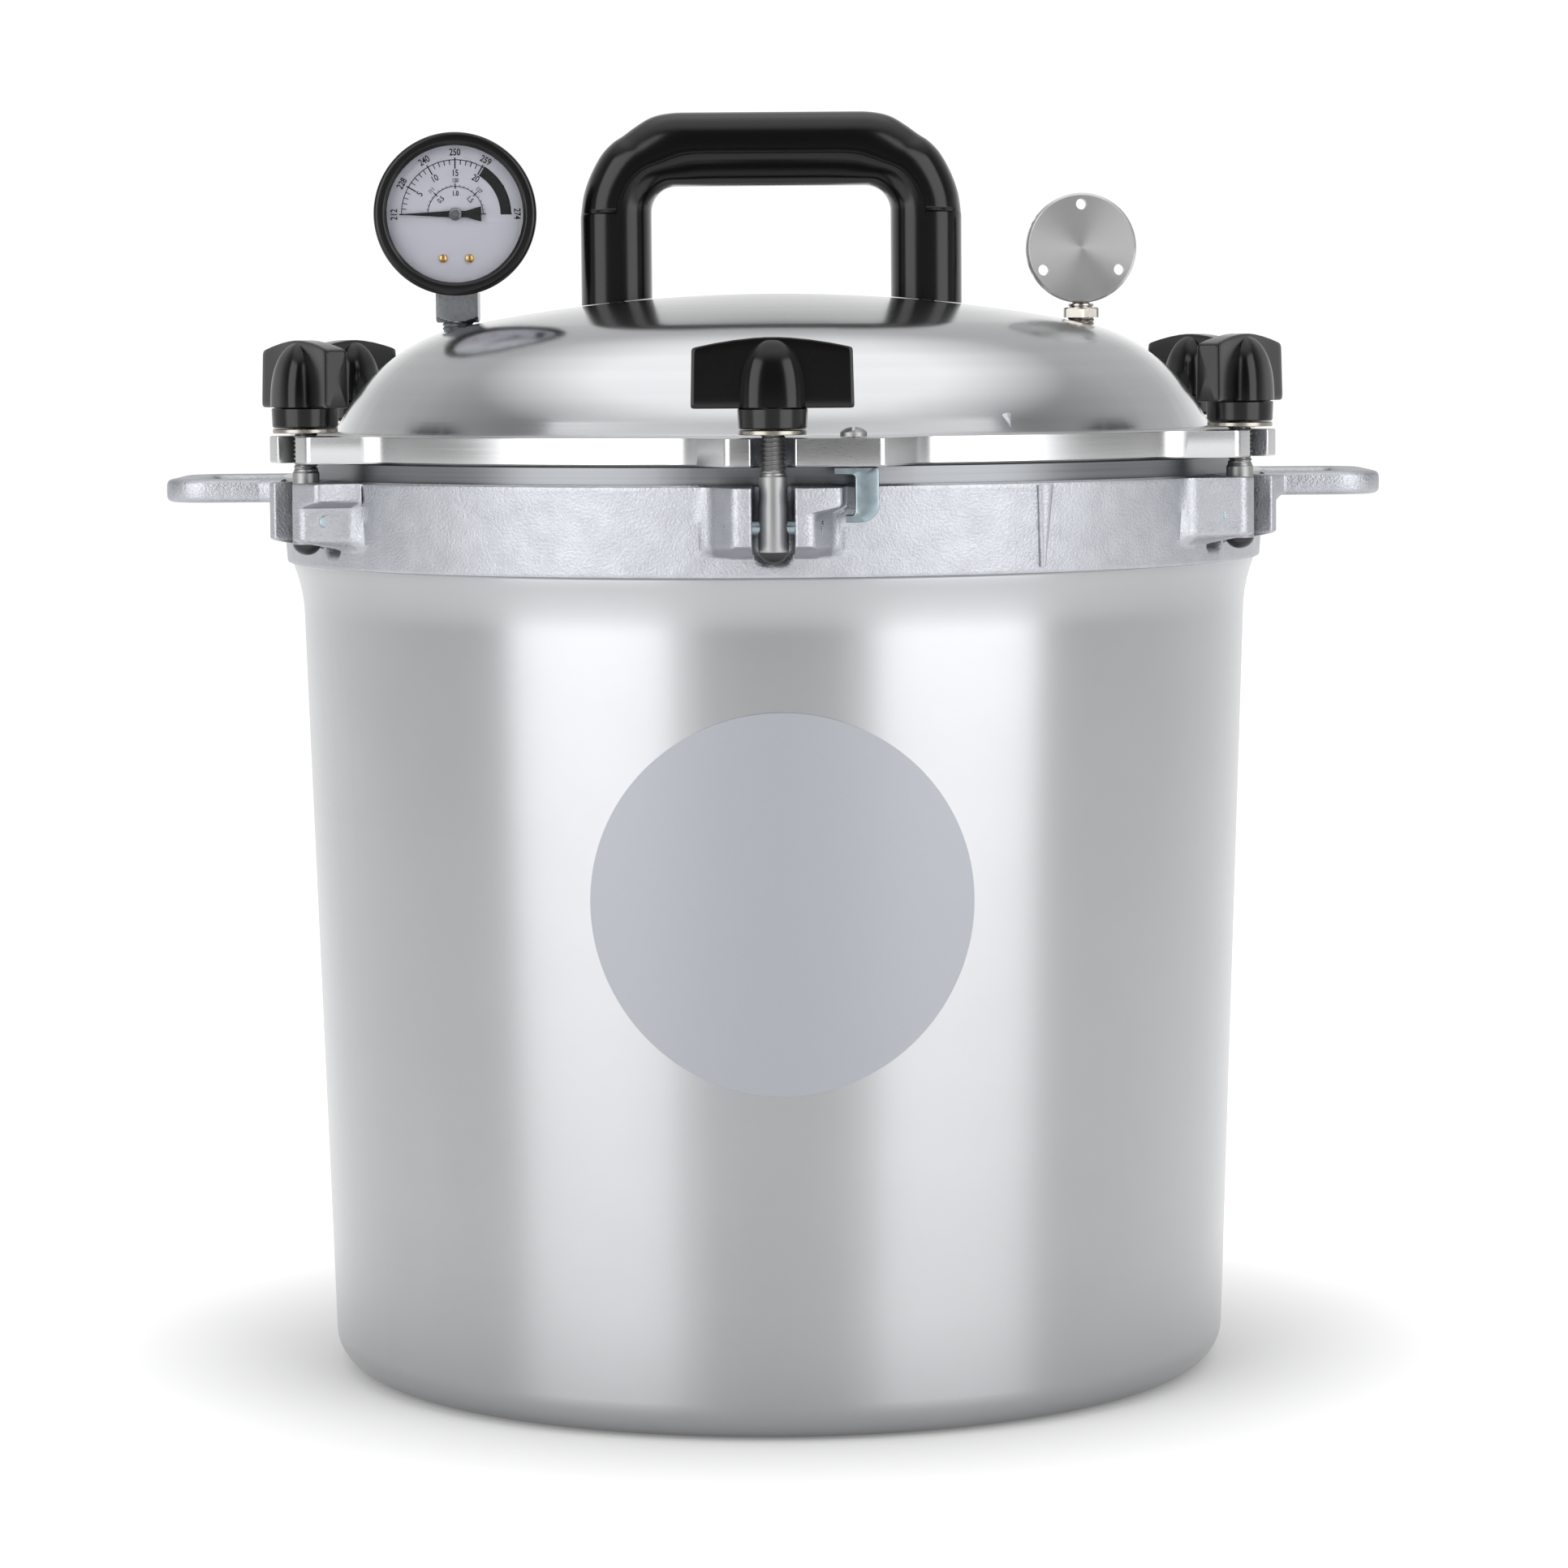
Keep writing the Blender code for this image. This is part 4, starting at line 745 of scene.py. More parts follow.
def bolt_grid():
    """A round-nosed shank, slightly waisted, then a thread whose radius is a triangle wave of
    height over pitch less angle over a full turn. The rows of the nose are marked for a dark steel that
    paints the shade under the nose."""
    nose = np.linspace(math.pi / 2, 0.15, 7)
    radius, low = 4.75 * MM, PIN_HEIGHT - 11.3 * MM
    profile = [(0, low)] + [(radius * math.cos(a), low + 4.2 * MM - 4.2 * MM * math.sin(a))
                            for a in nose[1:]]
    profile += [(radius, low + 4.4 * MM), (radius, 299 * MM), (4.4 * MM, 302 * MM),
                (4.4 * MM, 308.8 * MM), (4.0 * MM, 309.4 * MM)]
    shank = lathe(profile, 36)
    height = np.arange(309.6, 338.4, 0.1763)[:, None] * MM
    turn = np.linspace(0, 2 * math.pi, 36, endpoint=False)[None, :]
    phase = (height / THREAD_PITCH - turn / (2 * math.pi)) % 1
    fade = smooth(309.4 * MM, 311 * MM, height) * (1 - smooth(336.5 * MM, 338.4 * MM, height))
    r = 4.0 * MM - 0.78 * MM * np.abs(2 * phase - 1) * fade
    thread = np.stack([r * np.cos(turn), r * np.sin(turn), height + 0 * turn], -1)
    tip = lathe([(3.6 * MM, 339 * MM), (2.6 * MM, 339.3 * MM), (0, 339.3 * MM)], 36)
    grid = np.concatenate([shank, thread, tip])
    return grid, (np.arange(len(grid) - 1) < len(nose) - 1).astype(int)


def pin_grid():
    """Knurled pin along Y: the knurl is a cosine of 22 waves a turn at both ends."""
    half = 15.5 * MM
    station = np.array([-1, -1, -0.97, -0.75, -0.72, 0.72, 0.75, 0.97, 1, 1]) * half
    size = np.array([0, 1.9, 2.35, 2.35, 2.25, 2.25, 2.35, 2.35, 1.9, 0]) * MM
    knurl = np.array([0, 0, 1, 1, 0, 0, 1, 1, 0, 0]) * 0.12 * MM
    turn = np.linspace(0, 2 * math.pi, 88, endpoint=False)
    r = size[:, None] + knurl[:, None] * np.cos(22 * turn)[None, :]
    return np.stack([r * np.cos(turn), station[:, None] + 0 * r, r * np.sin(turn)], -1)


def hub_grid():
    """Boss, mould line and bullet hub in one, with the blind bore that holds the bush. The hub's
    radius is 10.3 mm times the root of 1 minus the height share to the power 2.6, and its plan is a
    superellipse of exponent 3, so that its front is flattish."""
    low = NUT_LOW + 1.8 * MM
    bore = low + 17.5 * MM
    rise = np.sin(np.linspace(0, math.pi / 2, 20))
    bullet = [(10.3 * MM * math.sqrt(max(0.0, 1 - t ** 2.6)), WING_LOW + 0.35 * MM + t * 21.6 * MM)
              for t in rise]
    profile = [(0, bore), (7.3 * MM, bore), (7.3 * MM, low + 0.3 * MM), (7.6 * MM, low),
               (10.2 * MM, low), (10.7 * MM, low + 0.5 * MM), (10.9 * MM, WING_LOW - 0.3 * MM),
               (10.6 * MM, WING_LOW - 0.05 * MM), (10.0 * MM, WING_LOW),
               (9.95 * MM, WING_LOW + 0.2 * MM)]
    grid = lathe(profile + bullet, 64)
    turn = np.linspace(0, 2 * math.pi, 64, endpoint=False)
    power = 3.0
    square = (np.abs(np.cos(turn)) ** power + np.abs(np.sin(turn)) ** power) ** (-1 / power)
    grid[len(profile):, :, :2] *= square[None, :, None]
    return grid


def wing_grid():
    """Both wings as one bar along Y: rounded box sections, thinner at mid span than at the ends,
    whose top follows an arch; the ends lean in a little towards the top."""
    reach = 25.3
    out = np.array([2, 6, 12, 18, 22, 24, 24.8, 25.15, reach])
    y = np.concatenate([-out[::-1], out])
    inset = np.array([0.9, 0.35, 0.1] + [0] * 12 + [0.1, 0.35, 0.9]) * MM
    top = WING_TOP - 3.3 * MM * np.abs(y / reach) ** 1.8
    half = (3.5 + 0.45 * smooth(12, 25, np.abs(y))) * MM
    turn = np.linspace(0, 2 * math.pi, 48, endpoint=False) + math.pi / 48
    u = np.sign(np.cos(turn)) * np.abs(np.cos(turn)) ** 0.16
    v = np.sign(np.sin(turn)) * np.abs(np.sin(turn)) ** 0.16
    middle, tall = (top + WING_LOW) / 2, (top - WING_LOW) / 2 - inset
    z = middle[:, None] + tall[:, None] * v[None, :]
    rise = np.clip((z - WING_LOW) / (WING_TOP - WING_LOW), 0, 1)
    x = (half - inset)[:, None] * u[None, :] * (1.06 - 0.12 * rise)
    side = y[:, None] * MM * (1 - 0.02 * rise)
    return capped(np.stack([x, side, z], -1))


def machined_steel():
    """Bright turned steel with tool marks and a trace of oil."""
    material, tree, place = new_material("machined_steel")
    marks = noise(tree, place, 1.0, 2.0, (0.05, 0.05, 6.0))
    return close_material(material, tree, {
        "Base Color": blend_colours(tree, marks, "858586", "9A9A9A"), "Metallic": 1.0,
        "Roughness": ranged(tree, marks, 0.38, 0.5), "Normal": bumped(tree, marks, 0.006)})


def zinc_plate():
    """Blue-passivated zinc plate on steel: pale bluish metal with cloudy patches."""
    material, tree, place = new_material("blue_zinc_plate")
    cloud = noise(tree, place, 0.35, 4.0)
    return close_material(material, tree, {
        "Base Color": blend_colours(tree, cloud, "7C8A91", "98A5AB"), "Metallic": 1.0,
        "Roughness": ranged(tree, cloud, 0.24, 0.42), "Normal": bumped(tree, cloud, 0.02)})


def cut_brass(name, one, two):
    """Machined brass or bronze with fine cut marks."""
    material, tree, place = new_material(name)
    marks = noise(tree, place, 2.5, 3.0)
    return close_material(material, tree, {
        "Base Color": blend_colours(tree, marks, one, two), "Metallic": 1.0,
        "Roughness": ranged(tree, marks, 0.2, 0.36), "Normal": bumped(tree, marks, 0.006)})


def nose_shade_steel():
    """Steel coloured dark on the bolt's nose as painted shade, with turning rings."""
    material, tree, place = new_material("nose_steel_painted_shade")
    marks = noise(tree, place, 1.0, 2.0, (0.05, 0.05, 2.0))
    return close_material(material, tree, {
        "Base Color": blend_colours(tree, marks, "2A2A2C", "4A4A4C"), "Metallic": 1.0,
        "Roughness": ranged(tree, marks, 0.3, 0.45), "Normal": bumped(tree, marks, 0.02)})


STEEL = machined_steel()
# Painted shade: the bolts' noses take this dark steel in place of the shade that falls under them.
NOSE_SHADE_STEEL = nose_shade_steel()
ZINC = zinc_plate()
BRASS = cut_brass("machined_brass", "B08A4E", "CBA765")
BRONZE = cut_brass("bronze_washer_face", "86817A", "A09A90")

for number, azimuth in enumerate(CLAMP_AZIMUTHS, start=1):
    tail = "_%d" % number
    bolt_points, bolt_marks = bolt_grid()
    piece("swing_bolt" + tail, [set_at(bolt_points, azimuth, CLAMP_RADIUS)], "clamp_bolt" + tail,
          [STEEL, NOSE_SHADE_STEEL], ["clamp_bolt" + tail], bolt_marks)
    piece("hinge_pin" + tail, [set_at(pin_grid(), azimuth, CLAMP_RADIUS, PIN_HEIGHT)],
          "pot", [ZINC], ["clamp_pin" + tail])
    washer = lathe(ring_profile(4.3 * MM, 10.6 * MM, NUT_LOW, NUT_LOW + 1.5 * MM, 0.25 * MM), 48)
    piece("faced_washer" + tail, [set_at(washer, azimuth, CLAMP_RADIUS)],
          "nut_washer" + tail, [BRONZE], ["nut_washer" + tail])
    bush_low = NUT_LOW + 1.8 * MM
    bush = lathe(ring_profile(4.3 * MM, 7 * MM, bush_low, bush_low + 17 * MM, 0.3 * MM), 36)
    piece("threaded_bush" + tail, [set_at(bush, azimuth, CLAMP_RADIUS)],
          "wing_nut" + tail, [BRASS], ["nut_insert" + tail])
    shells = [set_at(grid, azimuth, CLAMP_RADIUS) for grid in (hub_grid(), wing_grid())]
    piece("wing_knob" + tail, shells, "wing_nut" + tail, [PHENOLIC],
          ["wing_nut" + tail])


# ---------------------------------------------------------------------------------------------
# Lock hook. Zinc-plated steel, bent to an L, hung under the long side of the front lid lug by a
# slotted round-head screw; its toe reaches under the pot's ledge before the clamps are undone.

LEDGE_END = 22 * MM
HOOK_SCREW_SIDE = LEDGE_END + 3 * MM


def band(inner, outer, share, depth):
    """Rows follow two edge lines with equal point counts; each row's section goes from one to the
    other by the shares, at the given depths to one side and back at the same depths to the other."""
    share = np.concatenate([share, share[-2:0:-1]])
    depth = np.concatenate([-np.asarray(depth), np.asarray(depth)[-2:0:-1]])
    plane = inner[:, None, :] + (outer - inner)[:, None, :] * share[None, :, None]
    side = np.broadcast_to(depth, plane.shape[:2])
    return capped(np.stack([plane[..., 0], side, plane[..., 1]], -1))


def hook_grid():
    """The strip between its inner and outer bend lines, in the plane along the rim; its ends and
    edges are rounded by the section's shares."""
    top = FLANGE_LOW - 0.3 * MM
    foot = top - 17 * MM
    toe = LEDGE_END + 0.5 * MM
    near, far = toe + 2.9 * MM, toe + 10.2 * MM
    start = LEDGE_END - 3 * MM
    inner = rounded([(start, top - 2.2 * MM), (near, top - 2.2 * MM), (near, foot + 2.2 * MM),
                     (toe, foot + 2.2 * MM)], [1.2 * MM, 1.2 * MM], 10)
    outer = rounded([(start, top), (far, top), (far, foot), (toe, foot)], [0.8 * MM, 5.5 * MM], 10)
    share = np.array([0, 0, 0.02, 0.08, 0.5, 0.92, 0.98, 1, 1])
    depth = np.array([0, 4.6, 4.85, 5, 5, 5, 4.85, 4.6, 0]) * MM
    inner, outer = even(inner, 60), even(outer, 60)
    return band(inner, outer, share, depth)


def along_rim(grid, side=0.0, height=0.0):
    """From a plane with X along the front rim to its place on the front clamp's axis."""
    return np.stack([grid[..., 0] + side, grid[..., 1] - CLAMP_RADIUS, grid[..., 2] + height], -1)


def slotted_head(radius, height, slot_half, slot_depth):
    """Round screw head standing on z = 0. Rows are chords across the slot; a chord's top follows
    a dome of height times the root of 1 - 0.8 rho squared, dropped inside the slot."""
    outer = np.sin(np.linspace(-math.pi / 2, math.pi / 2, 21)) * radius
    outer = outer[np.abs(outer) > slot_half * 1.3]
    station = np.sort(np.concatenate([outer, [-slot_half * 1.001, -slot_half, slot_half,
                                              slot_half * 1.001]]))
    turn = np.linspace(0, math.pi, 17)
    chord = np.sqrt(np.maximum(radius ** 2 - station ** 2, 0))[:, None]
    y = chord * np.cos(turn)[None, :]
    rho = np.minimum((station[:, None] ** 2 + y ** 2) / radius ** 2, 1)
    z = height * np.sqrt(1 - 0.8 * rho)
    z = np.where(np.abs(station[:, None]) <= slot_half, np.minimum(z, height - slot_depth), z)
    x = np.broadcast_to(station[:, None], y.shape)
    top = np.stack([x, y, z], -1)
    under = top[:, ::-1] * np.array([1, 1, 0])
    return capped(np.concatenate([top, under], 1))


def thread_grid(radius, depth, pitch, low, high, steps=36):
    """Screw thread: the radius falls by a triangle wave of height over pitch less the turn."""
    height = np.arange(low, high, pitch / 8)[:, None]
    turn = np.linspace(0, 2 * math.pi, steps, endpoint=False)[None, :]
    phase = (height / pitch - turn / (2 * math.pi)) % 1
    r = radius - depth * np.abs(2 * phase - 1)
    return capped(np.stack([r * np.cos(turn), r * np.sin(turn), height + 0 * turn], -1))


piece("bent_lock_hook", [along_rim(hook_grid())], "lid", [ZINC], ["lock_hook"])
screw_foot = FLANGE_HIGH + GAP
screw_end = FLANGE_LOW - 2.3 * MM
screw_shank = lathe([(0, screw_end), (2 * MM, screw_end), (2 * MM, screw_foot), (0, screw_foot)], 24)
piece("hook_screw_round_head", [along_rim(slotted_head(4.15 * MM, 3 * MM, 0.5 * MM, 1.2 * MM),
                                          HOOK_SCREW_SIDE, screw_foot),
                                along_rim(screw_shank, HOOK_SCREW_SIDE)],
      "lid", [STEEL], ["hook_screw"])


# ---------------------------------------------------------------------------------------------
# Handle screws. A steel screw and washer inside the dome pull each handle leg down.

def shifted(grid, x=0.0, y=0.0, z=0.0):
    """The grid moved along the axes."""
    return grid + np.array([x, y, z])


for word, sign in (("left", -1), ("right", 1)):
    reach = 53.0 * MM
    under = dome_height(reach, DOME_WALL)
    tilt = under - dome_height(reach + 6 * MM, DOME_WALL)
    top = under - tilt - GAP
    head_top = top - 1.5 * MM
    washer = lathe(ring_profile(3.0 * MM, 6 * MM, top - 1.2 * MM, top, 0.15 * MM), 40)
    piece("handle_washer_plain_" + word, [shifted(washer, sign * reach)], "lid",
          [STEEL], ["handle_washer_" + word])
    low, high = head_top - 1 * MM, dome_height(reach) + 17.5 * MM
    shank = lathe([(0, low), (2.7 * MM, low), (2.7 * MM, high), (0, high)], 28)
    head = slotted_head(5 * MM, 3.6 * MM, 0.6 * MM, 1.4 * MM) * np.array([1, 1, -1])
    piece("handle_screw_slotted_" + word, [shifted(shank, sign * reach),
                                           shifted(head, sign * reach, 0, head_top)],
          "lid", [STEEL], ["handle_screw_" + word])


# ---------------------------------------------------------------------------------------------
# Dial gauge. A black pressed case and bezel with a glass lens, a printed dial, a pressed pointer
# on a turned boss, and a nickel-plated socket with a threaded neck that screws into the dome.

GAUGE_X = (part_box("gauge_lens")[0].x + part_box("gauge_lens")[1].x) / 2
GAUGE_HEIGHT = (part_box("gauge_lens")[0].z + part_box("gauge_lens")[1].z) / 2
DIAL_FRONT = 6.8 * MM
ZERO_TURN = 180.0
TURN_PER_UNIT = 6.0


def facing(grid, centre_x, height):
    """From a frame that faces +Z to its place facing the front, -Y."""
    return np.stack([grid[..., 0] + centre_x, -grid[..., 2], grid[..., 1] + height], -1)


def on_gauge(grid):
    """From the dial's own frame to the gauge's place."""
    return facing(grid, GAUGE_X, GAUGE_HEIGHT)


def mark(inner, outer, start, end, front, thickness=0.05 * MM, steps=2):
    """Flat printed mark on the dial: a closed strip between two radii and two angles in degrees."""
    turn = np.radians(np.linspace(start, end, steps))[:, None]
    radius = np.array([inner, outer, outer, inner])[None, :]
    height = np.array([front - thickness, front - thickness, front, front])[None, :]
    return capped(np.stack([radius * np.cos(turn), radius * np.sin(turn), height + 0 * turn], -1))


def tick(inner, outer, turn, width, front):
    """Radial printed line of even width, as a closed strip."""
    angle = math.radians(turn)
    out = np.array([math.cos(angle), math.sin(angle)])
    side = np.array([-out[1], out[0]]) * width / 2
    plan = np.stack([out * inner - side, out * inner + side])[None] \
        + np.stack([0 * out, out * (outer - inner)])[:, None]
    low = np.concatenate([plan, np.full((2, 2, 1), front - 0.05 * MM)], -1)
    high = np.concatenate([plan, np.full((2, 2, 1), front)], -1)
    return capped(np.concatenate([low, high[:, ::-1]], 1))


def dial_marks():
    """Outer scale 0 to 30 on its arc with a line a unit, a solid band from 20 to 30, and an inner
    scale on its own arc."""
    front = DIAL_FRONT + 0.12 * MM
    arc_radius = 18.3 * MM
    grids = [mark(arc_radius, arc_radius + 0.28 * MM, 0, 180, front, steps=61)]
    for unit in range(31):
        turn = ZERO_TURN - TURN_PER_UNIT * unit
        if unit % 5 == 0:
            grids.append(tick(15.4 * MM, 19.2 * MM, turn, 0.42 * MM, front))
        else:
            grids.append(tick(16.8 * MM, arc_radius, turn, 0.28 * MM, front))
    grids.append(mark(15.3 * MM, 19.0 * MM, 0, 58, front + 0.02 * MM, steps=21))
    inner_arc = 9.3 * MM
    grids.append(mark(inner_arc, inner_arc + 0.24 * MM, 0, 180, front, steps=41))
    for step in range(21):
        turn = ZERO_TURN - step * 9.0
        if step % 5 == 0:
            grids.append(tick(8.6 * MM, 10.4 * MM, turn, 0.34 * MM, front))
        else:
            grids.append(tick(inner_arc, 10.0 * MM, turn, 0.2 * MM, front))
    return grids


def numerals(name, items, lift, depth, place, body, material):
    """Numbers as one mesh: each stands on a circle at its angle with its top outwards, slightly
    condensed, and all are then placed together."""
    pieces = []
    for text, size, radius, around in items:
        curve = bpy.data.curves.new(name, "FONT")
        curve.body = text
        curve.size = size
        curve.align_x = "CENTER"
        curve.align_y = "CENTER"
        curve.extrude = depth / 2
        curve.offset = 0.015 * size
        holder = bpy.data.objects.new(name, curve)
        bpy.context.scene.collection.objects.link(holder)
        bpy.context.view_layer.update()
        depsgraph = bpy.context.evaluated_depsgraph_get()
        mesh = bpy.data.meshes.new_from_object(holder.evaluated_get(depsgraph))
        bpy.data.objects.remove(holder)
        cos, sin = math.cos(math.radians(around)), math.sin(math.radians(around))
        narrow = 0.8
        mesh.transform(Matrix(((narrow * sin, cos, 0, radius * cos),
                               (-narrow * cos, sin, 0, radius * sin),
                               (0, 0, 1, lift), (0, 0, 0, 1))))
        pieces.append(mesh)
    joined = bmesh.new()
    for mesh in pieces:
        joined.from_mesh(mesh)
    bmesh.ops.remove_doubles(joined, verts=joined.verts, dist=1e-7)
    joined.transform(place)
    bmesh.ops.recalc_face_normals(joined, faces=joined.faces)
    mesh = bpy.data.meshes.new(name)
    joined.to_mesh(mesh)
    joined.free()
    return finish_piece(name, mesh, body, [material], sharp=30)


def plain_metal(name, one, two, rough):
    """Plated or sheet metal with faint cloudy wear."""
    material, tree, place = new_material(name)
    cloud = noise(tree, place, 0.8, 3.0)
    return close_material(material, tree, {
        "Base Color": blend_colours(tree, cloud, one, two), "Metallic": 1.0,
        "Roughness": ranged(tree, cloud, rough, rough + 0.1), "Normal": bumped(tree, cloud, 0.01)})


def painted(name, one, two, rough, grain_mm=0.4, depth=0.006):
    """Paint, print or rubber: a near-even colour with a fine grain."""
    material, tree, place = new_material(name)
    grain = noise(tree, place, 1 / grain_mm, 2.0)
    return close_material(material, tree, {
        "Base Color": blend_colours(tree, grain, one, two), "Specular IOR Level": 0.3,
        "Roughness": ranged(tree, grain, rough, rough + 0.1), "Normal": bumped(tree, grain, depth)})


def lens_glass():
    """Clear window glass, barely uneven."""
    material, tree, place = new_material("clear_window_glass")
    wave = noise(tree, place, 0.05, 1.0)
    return close_material(material, tree, {
        "Base Color": srgb("FCFCFD"), "Roughness": ranged(tree, wave, 0.0, 0.02), "IOR": 1.5,
        "Transmission Weight": 1.0})


CASE_BLACK = painted("black_gauge_enamel", "070707", "0D0D0D", 0.2)
DIAL_PAPER = painted("printed_dial_grey", "D0D0DA", "D8D8E1", 0.5)
DIAL_INK = painted("black_printing_ink", "0A0A0B", "101011", 0.5)
NICKEL = plain_metal("satin_nickel_plate", "7E8185", "95989B", 0.24)
WARM_NICKEL = plain_metal("warm_nickel_plate", "98948D", "AEAAA3", 0.2)

case_profile = rounded([(0, -11.3 * MM), (25.2 * MM, -11.3 * MM), (25.2 * MM, 8.9 * MM),
                        (26.4 * MM, 8.9 * MM), (26.4 * MM, -12.5 * MM), (0, -12.5 * MM)],
                       [0.8 * MM, 0.2 * MM, 0.2 * MM, 2.4 * MM], 5)
piece("gauge_case_pressed", [on_gauge(lathe(case_profile, 96))], "lid", [CASE_BLACK],
      ["gauge_case"])
bezel_profile = rounded([(26.7 * MM, 9 * MM), (26.7 * MM, 11.05 * MM), (23.2 * MM, 11.05 * MM),
                         (23.2 * MM, 11.6 * MM), (24.4 * MM, 12.5 * MM), (27.7 * MM, 12.5 * MM),
                         (27.7 * MM, 7.8 * MM), (26.7 * MM, 7.8 * MM), (26.7 * MM, 9 * MM)],
                        [0.1 * MM, 0.1 * MM, 0.1 * MM, 0.8 * MM, 1.5 * MM, 0.2 * MM, 0.1 * MM], 6)
piece("gauge_bezel_ring", [on_gauge(lathe(bezel_profile, 128))], "lid", [CASE_BLACK],
      ["gauge_bezel"])
lens_profile = [(0, 9.2 * MM), (25.7 * MM, 9.2 * MM), (25.9 * MM, 9.4 * MM), (25.9 * MM, 10.5 * MM),
                (25.7 * MM, 10.7 * MM), (0, 10.7 * MM)]
piece("gauge_window", [on_gauge(lathe(lens_profile, 96))], "lid", [lens_glass()],
      ["gauge_lens"])
dial_profile = ring_profile(1.6 * MM, 24.9 * MM, 6.2 * MM, DIAL_FRONT, 0.05 * MM)
piece("gauge_dial_plate", [on_gauge(lathe(dial_profile, 96))], "lid", [DIAL_PAPER],
      ["gauge_dial"])
piece("dial_print", [on_gauge(grid) for grid in dial_marks()], "lid", [DIAL_INK])
dial_items = []
for value, unit in (("5", 5), ("10", 10), ("15", 15), ("20", 20)):
    dial_items.append((value, 3.1 * MM, 13.9 * MM, ZERO_TURN - TURN_PER_UNIT * unit))
for value, unit in (("212", 0), ("228", 5), ("240", 10), ("250", 15), ("259", 20), ("274", 30)):
    dial_items.append((value, 3.2 * MM, 20.9 * MM, ZERO_TURN - TURN_PER_UNIT * unit))
for value, turn in (("0.5", 135), ("1.0", 90), ("1.5", 45)):
    dial_items.append((value, 2.4 * MM, 7.0 * MM, turn))
for value, turn in (("111", 135), ("120", 90), ("127", 45)):
    dial_items.append((value, 1.9 * MM, 11.4 * MM, turn))
gauge_place = Matrix(((1, 0, 0, GAUGE_X), (0, 0, -1, 0), (0, 1, 0, GAUGE_HEIGHT), (0, 0, 0, 1)))
numerals("dial_numbers", dial_items, DIAL_FRONT + 0.09 * MM, 0.06 * MM, gauge_place, "lid",
         DIAL_INK)


def pointer_grids():
    """Tapered hand with a flared tail, a turned boss with rings, an arbor and a small pinion whose
    radius is a cosine of eight waves a turn."""
    x = np.array([-18.8, -18.2, -12, -6, -2, 0, 2, 3.5, 5, 7, 8.6, 8.8]) * MM
    half = np.array([0.06, 0.16, 0.5, 0.85, 1.1, 1.15, 1.1, 1.1, 1.5, 2.1, 2.5, 2.5]) * MM
    upper, lower = np.stack([x, half], 1), np.stack([x, -half], 1)
    share = np.array([0, 0, 0.04, 0.96, 1, 1])
    hand = band(lower, upper, share, np.array([0, 0.2, 0.25, 0.25, 0.2, 0]) * MM)
    hand = np.stack([hand[..., 0], hand[..., 2], hand[..., 1] + 8 * MM], -1)
    boss = lathe([(0, 7.4 * MM), (2.1 * MM, 7.4 * MM), (2.2 * MM, 8.5 * MM), (1.9 * MM, 8.75 * MM),
                  (1.5 * MM, 8.7 * MM), (1.3 * MM, 8.5 * MM), (1.0 * MM, 8.5 * MM),
                  (0.8 * MM, 8.85 * MM), (0, 8.88 * MM)], 40)
    arbor = lathe([(0, -4.6 * MM), (0.7 * MM, -4.6 * MM), (0.7 * MM, 7.5 * MM), (0, 7.5 * MM)], 16)
    turn = np.linspace(0, 2 * math.pi, 64, endpoint=False)
    r = (1.9 + 0.45 * np.cos(8 * turn))[None, :] * MM * np.array([[0.95], [1], [1], [0.95]])
    z = np.array([[-2.9], [-2.8], [-1.6], [-1.5]]) * MM + 0 * turn[None, :]
    pinion = capped(np.stack([r * np.cos(turn), r * np.sin(turn), z], -1))
    return hand, boss, arbor, pinion


hand, boss, arbor, pinion = pointer_grids()
piece("pointer_hand", [on_gauge(hand)], "gauge_pointer", [DIAL_INK],
      ["gauge_pointer"])
piece("pointer_boss", [on_gauge(boss), on_gauge(arbor), on_gauge(pinion)], "gauge_pointer",
      [NICKEL])
for word, sign in (("left", -1), ("right", 1)):
    across, down = sign * 4.5 * MM, -15 * MM
    head = shifted(slotted_head(1.4 * MM, 0.85 * MM, 0.18 * MM, 0.4 * MM), across, down,
                   DIAL_FRONT + 0.3 * MM)
    shank = lathe([(0, -4 * MM), (0.8 * MM, -4 * MM), (0.8 * MM, 7.2 * MM), (0, 7.2 * MM)], 16)
    shank = shifted(shank, across, down)
    piece("dial_screw_brass_" + word, [on_gauge(head), on_gauge(shank)], "lid", [BRASS],
          ["dial_screw_" + word])


def prism(sides, flat_half, low, high, chamfer_low, chamfer_high):
    """Upright prism with turned chamfers: radius is the smaller of the flat's and a cone's."""
    turn = np.linspace(0, 2 * math.pi, sides * 16, endpoint=False)[None, :]
    near = (turn + math.pi / sides) % (2 * math.pi / sides) - math.pi / sides
    flat = flat_half / np.cos(near)
    corner = flat_half / math.cos(math.pi / sides)
    slope = 0.58
    drop = (corner - flat_half) * slope
    height = np.concatenate([np.linspace(low, low + drop, 5), np.linspace(high - drop, high, 5)])
    height = height[:, None]
    cone_low = flat_half * 0.97 + (height - low) / slope if chamfer_low else corner + 0 * height
    cone_high = flat_half * 0.97 + (high - height) / slope if chamfer_high else corner + 0 * height
    r = np.minimum(np.minimum(flat, corner * 0.985), np.minimum(cone_low, cone_high))
    return capped(np.stack([r * np.cos(turn), r * np.sin(turn), height + 0 * turn], -1))


